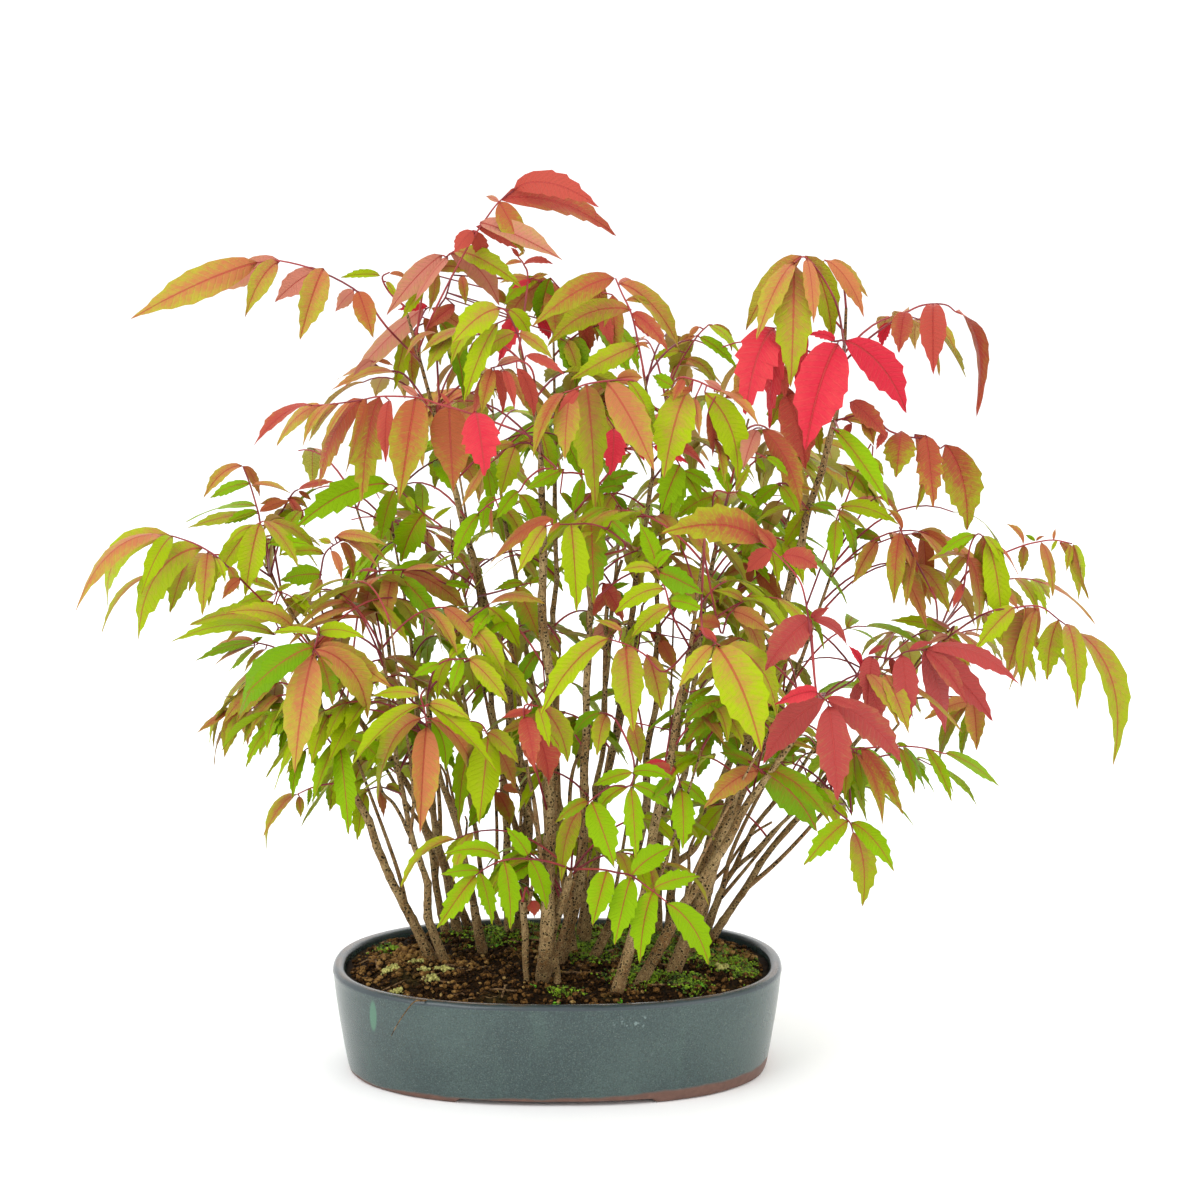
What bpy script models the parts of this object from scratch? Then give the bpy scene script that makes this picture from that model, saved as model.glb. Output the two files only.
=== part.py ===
"""Japanese wax tree bonsai: a clump of slender stems in an oval glazed pot.

Metres, +Z up. The pot stands on z = 0. The crown reaches further right and back than left and
forward, so the pot's middle is at (POT_X, POT_Y), off the origin, which lies under the middle
of the whole plant.
"""
import math
import random

import bmesh
import bpy
import numpy as np
from mathutils import Vector
from mathutils.bvhtree import BVHTree

MM = 0.001

# Gap between pieces that touch
GAP = 0.0003

# Pot: the rim's outline is a full oval, the wall bows out a little on its way up
POT_LENGTH = 0.245
POT_DEPTH = 0.181
POT_HEIGHT = 0.057
POT_X = -0.0269
POT_Y = -0.0160
POT_BASE_INSET = 0.0075
POT_BOW = 1.35
POT_WALL = 0.0062
POT_FLOOR = 0.0075
FLOOR_COVE = 0.006
OVAL_POWER = 2.35
OVAL_SIDES = 32
WALL_RINGS = 5
LOWEST_RING = 0.010
LIP_DEPTH = 0.0035
LIP_ROUND = 0.0008
FOOT_HEIGHT = 0.0028
FOOT_BEVEL = 0.0006
FOOT_WIDTH = 0.011
FOOT_GAP = 0.104

# Soil: filled to the rim, mounded towards the stems
SOIL_TOP = 0.056
SOIL_EDGE = 0.053
SOIL_SHOULDER = 0.006

# Stems
STEM_RINGS = 6
STEM_SIDES = 6
STEM_SPACING = 0.0014
TIP_GIRTH = 0.42
FLARE = 0.12
FLARE_HEIGHT = 0.012
FLARE_RING = 0.010
FOOT_SINK = 0.008

# Shoots and leaf stalks
SHOOT_STRAIGHT = 0.0030
SHOOT_BOW = 0.12
SHOOT_SIDES = 4
SHOOT_TAPER = 0.62
STALK_RADIUS = 0.00115
STALK_TAPER = 1.15
STALK_ARCH = 0.19
STALK_RINGS = 4
STALK_SIDES = 3

# Leaflets: bare part of the stalk, way they point, shape
STALK_BARE = 0.34
LEAF_AHEAD = 0.45
LEAF_LOUVRE = 0.45
LEAF_WIDTH = 0.42
LEAF_WIDEST = 0.42
LEAF_SCALE = 1.14
LEAF_THICKNESS = 0.0011
LEAF_RIDGE = 0.035
LEAF_FOLD = 0.12
LEAF_DROOP = 0.10
LEAF_ROOT = 0.00028
LEAF_NECK = 0.00024
LEAF_CLEARANCE = 0.0004
LEAF_TRIES = (1.0, 0.82, 0.66)

# Leaves dealt out by the seed where a mass has fewer than this
FEWEST_LEAVES = 4
SEED = 20

# Stem: foot (x, y), knee and top (x, y, z), all in mm from the pot's middle, and girth at the foot
STEMS = {
    "stem_01": ((-68.7, -1.2), (-104, -5, 135), (-125, -20, 200), 6.2),
    "stem_02": ((-61.4, -5.2), (-79, -20, 126), (-86, -30, 184), 5.2),
    "stem_03": ((-57, 54.7), (-72, 35, 124), (-120, 30, 202), 5.8),
    "stem_04": ((-51, 68), (-67, 60, 111), (-85, 55, 248), 4.4),
    "stem_05": ((-41.3, 15), (-50, 4, 107), (-66, -30, 184), 5.2),
    "stem_06": ((-34, 70), (-47, 75, 102), (-58, 80, 243), 3.4),
    "stem_07": ((-28, 50), (-31, 55, 145), (-43, 30, 252), 5.0),
    "stem_08": ((-22.5, 58.9), (-20, 50, 154), (-65, 15, 353), 6.6),
    "stem_09": ((-15.6, -40.5), (-16, -40, 78), (-18, -41, 100), 4.2),
    "stem_10": ((-7.3, -37.6), (-4, -35, 127), (-8, -20, 338), 7.8),
    "stem_11": ((1.8, -2), (13, -20, 123), (18, -30, 257), 7.0),
    "stem_12": ((8.3, 14), (-1, 25, 148), (-1, 25, 335), 5.0),
    "stem_13": ((14.4, 37.8), (27, 40, 143), (51, 0, 322), 5.6),
    "stem_14": ((32.6, -57.7), (47, -57, 113), (70, -65, 242), 6.4),
    "stem_15": ((45.3, -42.5), (78, -45, 116), (128, -55, 196), 6.8),
    "stem_16": ((62.2, -27), (90, -18, 134), (148, -5, 354), 7.6),
    "stem_17": ((73, 17), (88, 10, 109), (132, 5, 223), 6.0),
    "stem_18": ((80.2, 48.6), (102, 50, 107), (160, 20, 195), 3.6),
    "stem_19": ((83.5, 55), (103, 38, 102), (144, 15, 149), 3.8),
    "stem_20": ((20, 5.9), (48, 30, 128), (57, 30, 318), 5.2),
    "stem_21": ((56, 58), (60, 62, 134), (91, 60, 292), 5.5),
    "stem_22": ((62, 38), (66, 30, 132), (80, 20, 248), 5.5),
    "stem_23": ((12.1, 50.4), (22, 70, 130), (33, 98, 264), 4.4),
    "stem_24": ((-2, 66), (-6, 85, 134), (-31, 108, 285), 5.5),
    "stem_25": ((0.5, -39.6), (-3, -37, 80), (7, -45, 114), 5.8),
    "stem_26": ((72, 57), (92, 85, 127), (123, 110, 256), 6.0),
    "stem_27": ((-63.8, 61.1), (-77, 70, 121), (-105, 112, 255), 4.6),
    "stem_28": ((86.2, 45.5), (114, 55, 97), (186, 70, 188), 4.6),
}

# Foliage mass: its stem, its shoot's run beyond that stem's top in mm, its colour, and its leading
# leaves. A leading leaf is (how far up the shoot, run of its stalk in mm, pairs of leaflets,
# leaflet length in mm, hang from 0, level, to 1, limp).
FOLIAGE = {
    "foliage_08": ("stem_08", (-15, -15, 61), "plum", (
        (0.45, (-95, -25, 55), 4, 56, 0.60), (0.50, (48, -20, 104), 3, 56, 0.55),
        (0.55, (20, -30, 60), 2, 56, 0.70), (0.80, (-15, 5, 30), 2, 26, 0.30),
        (0.70, (-30, 20, 0), 3, 44, 0.50), (0.20, (-40, 25, 15), 3, 34, 0.50))),
    "foliage_10": ("stem_10", (-11, -5, 56), "bronze", (
        (0.10, (-80, -75, 35), 4, 58, 0.95), (0.70, (-10, -35, 40), 2, 56, 0.75),
        (0.50, (-20, -60, 25), 4, 32, 0.95), (0.95, (10, 30, 42), 3, 26, 0.40))),
    "foliage_16": ("stem_16", (5, -5, 60), "scarlet", (
        (0.95, (-25, -25, 30), 4, 52, 0.90), (0.90, (10, 10, 30), 2, 34, 0.60),
        (0.65, (-25, -20, 10), 3, 64, 0.85), (0.60, (10, -30, 15), 2, 60, 0.60),
        (0.50, (50, -10, 35), 3, 46, 0.90), (0.05, (50, -15, -5), 4, 54, 0.85),
        (0.10, (10, -40, -5), 1, 64, 0.50))),
    "foliage_03": ("stem_03", (-39, -20, 74), "olive", (
        (1.00, (-10, 5, 50), 3, 34, 0.60), (0.55, (-65, -30, 50), 3, 58, 0.85),
        (0.85, (-5, -50, 40), 2, 50, 0.80), (0.35, (-50, -50, 30), 3, 44, 0.40),
        (0.25, (-50, -10, 10), 3, 34, 0.60), (0.90, (15, 30, 35), 2, 30, 0.60))),
    "foliage_28": ("stem_28", (32, -10, 49), "olive", (
        (0.90, (62, -35, 2), 4, 56, 0.95), (0.80, (60, 15, 62), 4, 28, 0.80),
        (0.50, (20, -45, -25), 3, 44, 0.70), (0.70, (30, -5, 0), 3, 40, 0.60))),
    "foliage_15": ("stem_15", (12, -15, 23), "rose", (
        (0.80, (-15, -50, 15), 3, 54, 0.80), (0.90, (25, -40, 0), 3, 56, 0.55),
        (0.30, (15, -40, -35), 3, 44, 0.70), (0.50, (-25, -30, -30), 3, 48, 0.40),
        (0.90, (-15, -20, 45), 2, 44, 0.70))),
    "foliage_05": ("stem_05", (-2, -20, 34), "lime", (
        (0.90, (-10, -35, 5), 3, 58, 0.60), (0.90, (15, -35, 5), 3, 62, 0.65),
        (0.60, (-15, -10, 30), 3, 48, 0.60))),
    "foliage_01": ("stem_01", (-2, -15, 41), "olive", (
        (0.80, (-25, -45, 5), 3, 58, 0.60), (0.90, (20, -50, 0), 3, 60, 0.70),
        (0.60, (-38, -34, 18), 2, 58, 0.80), (0.20, (-45, 20, -10), 3, 32, 0.70))),
    "foliage_13": ("stem_13", (-5, 0, 59), "olive", (
        (0.95, (-15, -40, 55), 3, 62, 0.60), (0.30, (-25, -100, 45), 4, 60, 0.90),
        (0.35, (35, -90, 35), 3, 58, 0.85), (0.85, (15, 40, 25), 3, 44, 0.70))),
    "foliage_12": ("stem_12", (-1, 0, 70), "green", (
        (0.80, (-22, -40, 30), 3, 54, 0.70), (0.90, (25, 5, 25), 3, 52, 0.70),
        (0.40, (20, -75, 20), 2, 40, 0.80))),
    "foliage_14": ("stem_14", (7, -10, 59), "lime", (
        (0.90, (5, -45, -45), 3, 60, 0.75), (0.85, (25, -35, 15), 3, 40, 0.60),
        (0.70, (-30, -25, -10), 3, 46, 0.50), (0.95, (-10, -35, 15), 3, 52, 0.35))),
    "foliage_25": ("stem_25", (1, -1, 5), "lime", (
        (0.80, (-45, -30, 10), 3, 44, 0.60), (0.90, (50, -40, -10), 4, 44, 0.65),
        (0.70, (15, -15, 40), 3, 40, 0.50))),
    "foliage_17": ("stem_17", (22, -5, 69), "copper", (
        (0.90, (35, -10, 25), 3, 44, 0.60), (0.80, (65, 20, 25), 3, 38, 0.80),
        (0.70, (15, -30, 45), 3, 40, 0.40), (0.50, (45, 0, 20), 3, 40, 0.70))),
    "foliage_18": ("stem_18", (28, -20, 40), "rose", (
        (0.90, (20, -45, 5), 3, 50, 0.50), (0.60, (50, -10, -10), 3, 42, 0.80),
        (0.70, (-18, -62, 8), 3, 46, 0.80))),
    "foliage_19": ("stem_19", (15, -25, -8), "green", (
        (0.80, (5, -30, -5), 3, 44, 0.70), (0.60, (-5, -20, 25), 3, 40, 0.60),
        (0.90, (40, 0, 35), 3, 36, 0.60))),
    "foliage_02": ("stem_02", (-6, -10, 59), "copper", (
        (0.90, (20, -40, 40), 3, 50, 0.60), (0.30, (-15, -25, -5), 3, 46, 0.80),
        (0.70, (-25, 25, 35), 3, 40, 0.60))),
    "foliage_04": ("stem_04", (-10, -5, 57), "green", (
        (0.80, (-20, -30, 25), 2, 54, 0.40), (0.60, (-8, 42, 14), 3, 36, 0.60),
        (0.90, (20, -20, 15), 3, 46, 0.80))),
    "foliage_07": ("stem_07", (-10, -15, 74), "green", (
        (0.80, (-20, -30, -5), 3, 48, 0.70), (0.70, (25, -35, 10), 3, 48, 0.80),
        (0.40, (20, -45, -20), 3, 44, 0.60))),
    "foliage_11": ("stem_11", (-8, -20, 54), "olive", (
        (0.90, (-5, -45, 10), 3, 48, 0.95), (0.60, (-40, -20, -20), 3, 44, 0.60),
        (0.80, (30, -35, -10), 3, 40, 0.50))),
    "foliage_20": ("stem_20", (2, -5, 49), "copper", (
        (0.90, (-12, 34, 30), 3, 28, 0.50), (0.60, (35, -25, 35), 3, 36, 0.70),
        (0.50, (-20, -50, -10), 3, 46, 0.70))),
    "foliage_21": ("stem_21", (14, -5, 56), "bronze", (
        (0.90, (15, -55, 5), 3, 50, 0.80), (0.60, (-20, -35, 5), 3, 46, 0.80),
        (0.90, (25, 35, -20), 2, 44, 0.70))),
    "foliage_22": ("stem_22", (9, -5, 50), "green", (
        (0.90, (20, -45, 20), 3, 46, 0.60), (0.60, (-15, -45, 5), 3, 44, 0.60))),
    "foliage_06": ("stem_06", (-3, 10, 44), "green", (
        (0.90, (-15, -20, 5), 3, 46, 0.80), (0.60, (25, -25, 0), 3, 44, 0.70))),
    "foliage_23": ("stem_23", (-5, 15, 72), "green", (
        (0.90, (-30, 20, 10), 3, 48, 0.60), (0.70, (30, 45, 25), 2, 46, 0.70))),
    "foliage_24": ("stem_24", (-7, 10, 67), "copper", (
        (0.90, (-30, 15, 10), 3, 46, 0.70), (0.70, (15, 40, 10), 2, 46, 0.70))),
    "foliage_26": ("stem_26", (14, 10, 50), "olive", (
        (0.90, (30, 20, 10), 3, 46, 0.60), (0.60, (-15, 45, -10), 2, 46, 0.70))),
    "foliage_27": ("stem_27", (-17, 10, 51), "olive", (
        (0.90, (-30, 15, 20), 3, 46, 0.60), (0.70, (10, 45, 0), 3, 46, 0.70))),
}

# Colour, roughness and metallic of each finish
FINISHES = {
    "glaze": ((0.115, 0.170, 0.170, 1), 0.30, 0.0),
    "soil": ((0.045, 0.020, 0.009, 1), 0.95, 0.0),
    "bark": ((0.262, 0.171, 0.102, 1), 0.85, 0.0),
    "plum": ((0.242, 0.080, 0.091, 1), 0.50, 0.0),
    "bronze": ((0.402, 0.080, 0.045, 1), 0.50, 0.0),
    "scarlet": ((0.753, 0.032, 0.061, 1), 0.50, 0.0),
    "rose": ((0.515, 0.070, 0.070, 1), 0.50, 0.0),
    "copper": ((0.515, 0.188, 0.061, 1), 0.50, 0.0),
    "olive": ((0.352, 0.429, 0.021, 1), 0.50, 0.0),
    "lime": ((0.376, 0.578, 0.007, 1), 0.50, 0.0),
    "green": ((0.102, 0.515, 0.007, 1), 0.50, 0.0),
}


def clear_scene():
    for item in list(bpy.data.objects):
        bpy.data.objects.remove(item, do_unlink=True)


def new_collection(name):
    collection = bpy.data.collections.new(name)
    bpy.context.scene.collection.children.link(collection)
    return collection


def finish(name):
    """The Principled material for one of the FINISHES."""
    material = bpy.data.materials.get(name)
    if material is None:
        colour, roughness, metallic = FINISHES[name]
        material = bpy.data.materials.new(name)
        material.use_nodes = True
        shader = material.node_tree.nodes["Principled BSDF"]
        shader.inputs["Base Color"].default_value = colour
        shader.inputs["Roughness"].default_value = roughness
        shader.inputs["Metallic"].default_value = metallic
        material.diffuse_color = colour
    return material


def mesh_object(name, points, faces, collection):
    """A mesh object from points and faces, in world coordinates."""
    mesh = bpy.data.meshes.new(name)
    mesh.from_pydata([tuple(map(float, p)) for p in points], [], faces)
    mesh.update()
    item = bpy.data.objects.new(name, mesh)
    collection.objects.link(item)
    return item


def boolean(item, operation, operand, solver="EXACT"):
    """Apply a Boolean with an object, or with every object of a collection."""
    modifier = item.modifiers.new("boolean", "BOOLEAN")
    modifier.operation = operation
    modifier.solver = solver
    if isinstance(operand, bpy.types.Collection):
        modifier.operand_type = "COLLECTION"
        modifier.collection = operand
    else:
        modifier.object = operand
    graph = bpy.context.evaluated_depsgraph_get()
    result = bpy.data.meshes.new_from_object(item.evaluated_get(graph))
    item.modifiers.clear()
    item.data = result


# Pot and soil

def oval(half_length, half_depth, z):
    """A ring of points on a full oval, |x/a|^n + |y/b|^n = 1, centred on the pot."""
    ring = []
    for step in range(OVAL_SIDES):
        angle = 2 * math.pi * step / OVAL_SIDES
        c = math.cos(angle)
        s = math.sin(angle)
        x = math.copysign(abs(c) ** (2 / OVAL_POWER), c) * half_length
        y = math.copysign(abs(s) ** (2 / OVAL_POWER), s) * half_depth
        ring.append((POT_X + x, POT_Y + y, z))
    return ring


def oval_solid(name, profile, collection):
    """A closed solid from (inset from the rim's outline, z) pairs, underside first, top last."""
    points = []
    for inset, z in profile:
        points += oval(POT_LENGTH / 2 - inset, POT_DEPTH / 2 - inset, z)
    n = OVAL_SIDES
    faces = [list(range(n))[::-1]]
    for row in range(len(profile) - 1):
        for i in range(n):
            j = (i + 1) % n
            faces.append((row * n + i, row * n + j, (row + 1) * n + j, (row + 1) * n + i))
    faces.append([(len(profile) - 1) * n + i for i in range(n)])
    return mesh_object(name, points, faces, collection)


def outer_inset(z):
    """How far the outer wall stands in from the rim at height z: straight, easing out near the rim."""
    rise = (z - FOOT_HEIGHT) / (POT_HEIGHT - FOOT_HEIGHT)
    return POT_BASE_INSET * (1 - rise) ** POT_BOW


def inner_point(z, gap=0.0):
    """A point (inset, z) of the inner wall, or of a skin lying a gap inside it."""
    return (POT_WALL + outer_inset(z) + gap, z)


def make_pot(collection, cutters):
    """An oval bowl on two shallow feet: a ring of foot, hollow beneath, with a gap front and back."""
    wall = [(outer_inset(z), z) for z in np.linspace(LOWEST_RING, POT_HEIGHT - LIP_DEPTH, WALL_RINGS)]
    outside = [(POT_BASE_INSET + FOOT_BEVEL, 0.0), (POT_BASE_INSET, FOOT_HEIGHT)] + wall
    top = [(0.17 * POT_WALL, POT_HEIGHT - LIP_ROUND), (0.5 * POT_WALL, POT_HEIGHT),
           (0.83 * POT_WALL, POT_HEIGHT - LIP_ROUND)]
    inside = [inner_point(z) for z in (POT_HEIGHT - LIP_DEPTH, POT_HEIGHT / 2, 2 * POT_FLOOR)]
    bottom = [(inner_point(LOWEST_RING)[0] + FLOOR_COVE, POT_FLOOR)]
    pot = oval_solid("pot", outside + top + inside + bottom, collection)

    foot_inset = POT_BASE_INSET + FOOT_WIDTH
    hollow = oval_solid("underside", [(foot_inset, -FOOT_HEIGHT), (foot_inset, FOOT_HEIGHT)], cutters)
    boolean(pot, "DIFFERENCE", hollow)
    bpy.ops.mesh.primitive_cube_add(size=1, location=(POT_X, POT_Y, 0))
    gap = bpy.context.active_object
    gap.name = "foot_gap"
    gap.scale = (FOOT_GAP, POT_DEPTH * 1.2, 2 * FOOT_HEIGHT)
    bpy.ops.object.transform_apply(location=False, rotation=False, scale=True)
    for owner in list(gap.users_collection):
        owner.objects.unlink(gap)
    cutters.objects.link(gap)
    boolean(pot, "DIFFERENCE", gap)
    for cutter in (hollow, gap):
        cutter.hide_render = True
        cutter.display_type = "WIRE"
    pot.data.shade_smooth()
    pot.data.set_sharp_from_angle(angle=math.radians(35))
    pot.data.materials.clear()
    pot.data.materials.append(finish("glaze"))


def make_soil(collection):
    """A solid filling the bowl, a gap clear of it, with a sloping shoulder up to a flat top."""
    profile = [
        (inner_point(LOWEST_RING, GAP)[0] + FLOOR_COVE + GAP, POT_FLOOR + GAP),
        inner_point(2 * POT_FLOOR, GAP),
        inner_point(POT_HEIGHT / 2, GAP),
        inner_point(SOIL_EDGE, GAP),
        (inner_point(SOIL_EDGE)[0] + SOIL_SHOULDER, SOIL_TOP),
    ]
    soil = oval_solid("soil", profile, collection)
    soil.data.materials.append(finish("soil"))


# Paths of the limbs

def smooth_path(points, count):
    """A Catmull-Rom curve through a few points, as `count` evenly numbered points."""
    p = np.asarray(points, float)
    p = np.vstack([2 * p[0] - p[1], p, 2 * p[-1] - p[-2]])
    place = np.linspace(0, len(p) - 3, count)
    i = np.minimum(place.astype(int), len(p) - 4)
    t = (place - i)[:, None]
    a, b, c, d = p[i], p[i + 1], p[i + 2], p[i + 3]
    square = (2 * a - 5 * b + 4 * c - d) * t ** 2
    cube = (3 * b - a - 3 * c + d) * t ** 3
    return 0.5 * (2 * b + (c - a) * t + square + cube)


def stem_paths():
    """Every stem's centre line and radii, nudged apart in y where two would touch."""
    shift = np.array([POT_X, POT_Y, 0])
    base = SOIL_TOP + GAP
    paths = {}
    for name, (foot, knee, top, girth) in STEMS.items():
        foot = np.array([foot[0] * MM, foot[1] * MM, base])
        path = smooth_path([foot, np.array(knee) * MM, np.array(top) * MM], STEM_RINGS) + shift
        up = np.linspace(0, 1, STEM_RINGS)
        radius = girth / 2 * MM * (1 - (1 - TIP_GIRTH) * up)
        paths[name] = [path, radius]
    names = list(paths)
    for _ in range(60):
        moved = False
        for i, one in enumerate(names):
            for other in names[i + 1:]:
                moved |= nudge_apart(paths[one], paths[other])
        if not moved:
            break
    return paths


def nudge_apart(one, other):
    """Move the nearest points of two stems apart in y, feet excepted; true if they moved."""
    fine = np.linspace(0, STEM_RINGS - 1, 6 * STEM_RINGS)
    rows = np.arange(STEM_RINGS)
    sample = []
    for path, radius in (one, other):
        line = np.stack([np.interp(fine, rows, path[:, k]) for k in range(3)], 1)
        sample.append((line, np.interp(fine, rows, radius)))
    (p, rp), (q, rq) = sample
    clear = np.linalg.norm(p[:, None] - q[None], axis=2) - rp[:, None] - rq[None] - STEM_SPACING
    i, j = np.unravel_index(np.argmin(clear), clear.shape)
    if clear[i, j] >= 0:
        return False
    side = 1.0 if p[i, 1] >= q[j, 1] else -1.0
    for (path, _), place, sign in ((one, fine[i], side), (other, fine[j], -side)):
        weight = np.exp(-((rows - place) / 1.6) ** 2) * (rows > 0)
        path[:, 1] += sign * weight * (0.5 * -clear[i, j] + 0.0001)
    return True


def tube(name, path, radius, sides, collection):
    """A tapering tube with flat ends along a path."""
    curve = bpy.data.curves.new(name, "CURVE")
    curve.dimensions = "3D"
    curve.use_fill_caps = True
    curve.bevel_mode = "OBJECT"
    curve.bevel_object = ring_profile(sides)
    spline = curve.splines.new("POLY")
    spline.points.add(len(path) - 1)
    for point, place, r in zip(spline.points, path, radius):
        point.co = (*place, 1)
        point.radius = r
    item = bpy.data.objects.new(name, curve)
    collection.objects.link(item)
    return item


def ring_profile(sides):
    """A polygon of radius 1, the section that the tubes share; made once for each number of sides."""
    name = f"section_{sides}"
    if name not in bpy.data.objects:
        curve = bpy.data.curves.new(name, "CURVE")
        curve.dimensions = "2D"
        spline = curve.splines.new("POLY")
        spline.points.add(sides - 1)
        for i, point in enumerate(spline.points):
            angle = 2 * math.pi * i / sides
            point.co = (math.cos(angle), math.sin(angle), 0, 1)
        spline.use_cyclic_u = True
        item = bpy.data.objects.new(name, curve)
        item.hide_render = True
        item.display_type = "WIRE"
        bpy.data.collections["cutters"].objects.link(item)
    return bpy.data.objects[name]


def to_meshes(items, collection):
    """Turn curve objects into welded mesh objects of the same names."""
    graph = bpy.context.evaluated_depsgraph_get()
    meshes = [bpy.data.meshes.new_from_object(item.evaluated_get(graph)) for item in items]
    result = []
    for item, mesh in zip(items, meshes):
        name = item.name
        curve = item.data
        bpy.data.objects.remove(item)
        bpy.data.curves.remove(curve)
        work = bmesh.new()
        work.from_mesh(mesh)
        bmesh.ops.remove_doubles(work, verts=work.verts, dist=1e-6)
        bmesh.ops.recalc_face_normals(work, faces=work.faces)
        work.to_mesh(mesh)
        work.free()
        made = bpy.data.objects.new(name, mesh)
        collection.objects.link(made)
        result.append(made)
    return result


def make_stems(paths, collection):
    """Each stem is one tapering limb, flared at the root and cut off level at the soil."""
    level = SOIL_TOP + GAP
    tubes = []
    for name, (path, radius) in paths.items():
        step = path[1] - path[0]
        rise = path[:, 2] - level
        flared = radius * (1 + FLARE * np.exp(-rise / FLARE_HEIGHT))
        below = path[0] - step * (FOOT_SINK / step[2])
        above = path[0] + step * (FLARE_RING / np.linalg.norm(step))
        flare = 1 + FLARE * math.exp(-FLARE_RING / FLARE_HEIGHT)
        ring = np.interp(FLARE_RING, rise[:2], radius[:2]) * flare
        line = np.vstack([below, path[0], above, path[1:]])
        girth = np.concatenate([[flared[0], flared[0], ring], flared[1:]])
        tubes.append(tube(name, line, girth, STEM_SIDES, collection))
    for item in to_meshes(tubes, collection):
        work = bmesh.new()
        work.from_mesh(item.data)
        everything = work.verts[:] + work.edges[:] + work.faces[:]
        cut = bmesh.ops.bisect_plane(work, geom=everything, plane_co=(0, 0, level), plane_no=(0, 0, 1),
                                     clear_inner=True)
        edges = [e for e in cut["geom_cut"] if isinstance(e, bmesh.types.BMEdge)]
        bmesh.ops.contextual_create(work, geom=edges)
        bmesh.ops.recalc_face_normals(work, faces=work.faces)
        work.to_mesh(item.data)
        work.free()
        item.data.shade_smooth()
        item.data.set_sharp_from_angle(angle=math.radians(60))
        item.data.materials.append(finish("bark"))


# Foliage

def leaf_plans(name, paths):
    """A mass's shoot and its leaves: the leading ones, then seeded ones that face out of the crown."""
    stem, run, _, leading = FOLIAGE[name]
    path, radius = paths[stem]
    along = path[-1] - path[-2]
    along = along / np.linalg.norm(along)
    start = path[-1] + along * GAP
    end = start + np.array(run) * MM
    straight = start + along * SHOOT_STRAIGHT
    bend = (start + end) / 2 + along * SHOOT_BOW * np.linalg.norm(end - start)
    shoot = np.vstack([start, smooth_path([straight, bend, end], 3)])
    rng = random.Random(SEED + int(stem[-2:]))
    plans = [(t, np.array(reach) * MM, pairs, size * MM, hang) for t, reach, pairs, size, hang in leading]
    while len(plans) < FEWEST_LEAVES:
        t = rng.uniform(0.15, 0.95)
        outward = math.atan2(start[1], start[0])
        bearing = outward + math.radians(rng.uniform(-120, 120))
        length = rng.uniform(38, 66) * MM
        rise = rng.uniform(0.0, 0.7)
        reach = np.array([math.cos(bearing), math.sin(bearing), rise]) * length
        plans.append((t, reach, rng.choice((2, 3)), rng.uniform(36, 50) * MM, rng.uniform(0.4, 0.8)))
    return shoot, radius[-1], plans


def stalk_path(base, reach):
    """A leaf's stalk: from the shoot along its reach, arching up on the way."""
    t = np.linspace(0, 1, STALK_RINGS)[:, None]
    lift = np.array([0, 0, STALK_ARCH * np.linalg.norm(reach)])
    return base + reach * t + lift * 4 * t * (1 - t)


def leaflet_poses(stalk, pairs, size, hang):
    """Base, direction, upper side and length of each leaflet: side pairs, then the end one."""
    up = np.array([0, 0, 1.0])
    rows = np.arange(len(stalk))
    poses = []
    for pair in range(pairs):
        share = (pair + 1) / (pairs + 0.6)
        place = (STALK_BARE + (1 - STALK_BARE) * share) * (len(stalk) - 1)
        base = np.array([np.interp(place, rows, stalk[:, k]) for k in range(3)])
        low = min(int(place), len(stalk) - 2)
        ahead = unit(stalk[low + 1] - stalk[low])
        across = unit(np.cross(ahead, up))
        length = size * (0.78 + 0.22 * math.sin(math.pi * share))
        for side in (-1, 1):
            heading = across * side * (1 - 0.45 * hang) + ahead * LEAF_AHEAD - up * (0.15 + 0.95 * hang)
            face = up * (1.1 - hang) + across * side * (0.25 + hang) + ahead * LEAF_LOUVRE
            poses.append((base + across * side * LEAF_ROOT, unit(heading), face, length))
    ahead = unit(stalk[-1] - stalk[-2])
    poses.append((stalk[-1], unit(ahead - up * (0.1 + 0.7 * hang)), up + ahead * hang, size * 1.1))
    return poses


def unit(vector):
    return vector / np.linalg.norm(vector)


def leaflet(pose, grow=0.0):
    """A pointed leaflet of eight faces, a ridge on top and a keel below, grown by a margin."""
    base, heading, face, length = pose
    length = length * LEAF_SCALE + grow
    face = unit(face - heading * np.dot(face, heading))
    side = np.cross(heading, face)
    half = LEAF_WIDTH * length / 2 + grow
    thick = LEAF_THICKNESS / 2 + grow
    middle = base + heading * length * LEAF_WIDEST
    points = [
        base + face * LEAF_NECK,
        base - face * LEAF_NECK,
        middle + side * half - face * half * LEAF_FOLD,
        middle - side * half - face * half * LEAF_FOLD,
        middle + face * (thick + LEAF_RIDGE * length),
        base + heading * length - face * LEAF_DROOP * length,
    ]
    faces = [(0, 2, 4), (0, 4, 3), (4, 2, 5), (4, 5, 3), (1, 5, 2), (1, 3, 5), (0, 1, 2), (0, 3, 1)]
    return points, faces


def tree_of(points, faces):
    return BVHTree.FromPolygons([Vector(map(float, p)) for p in points], faces)


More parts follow.
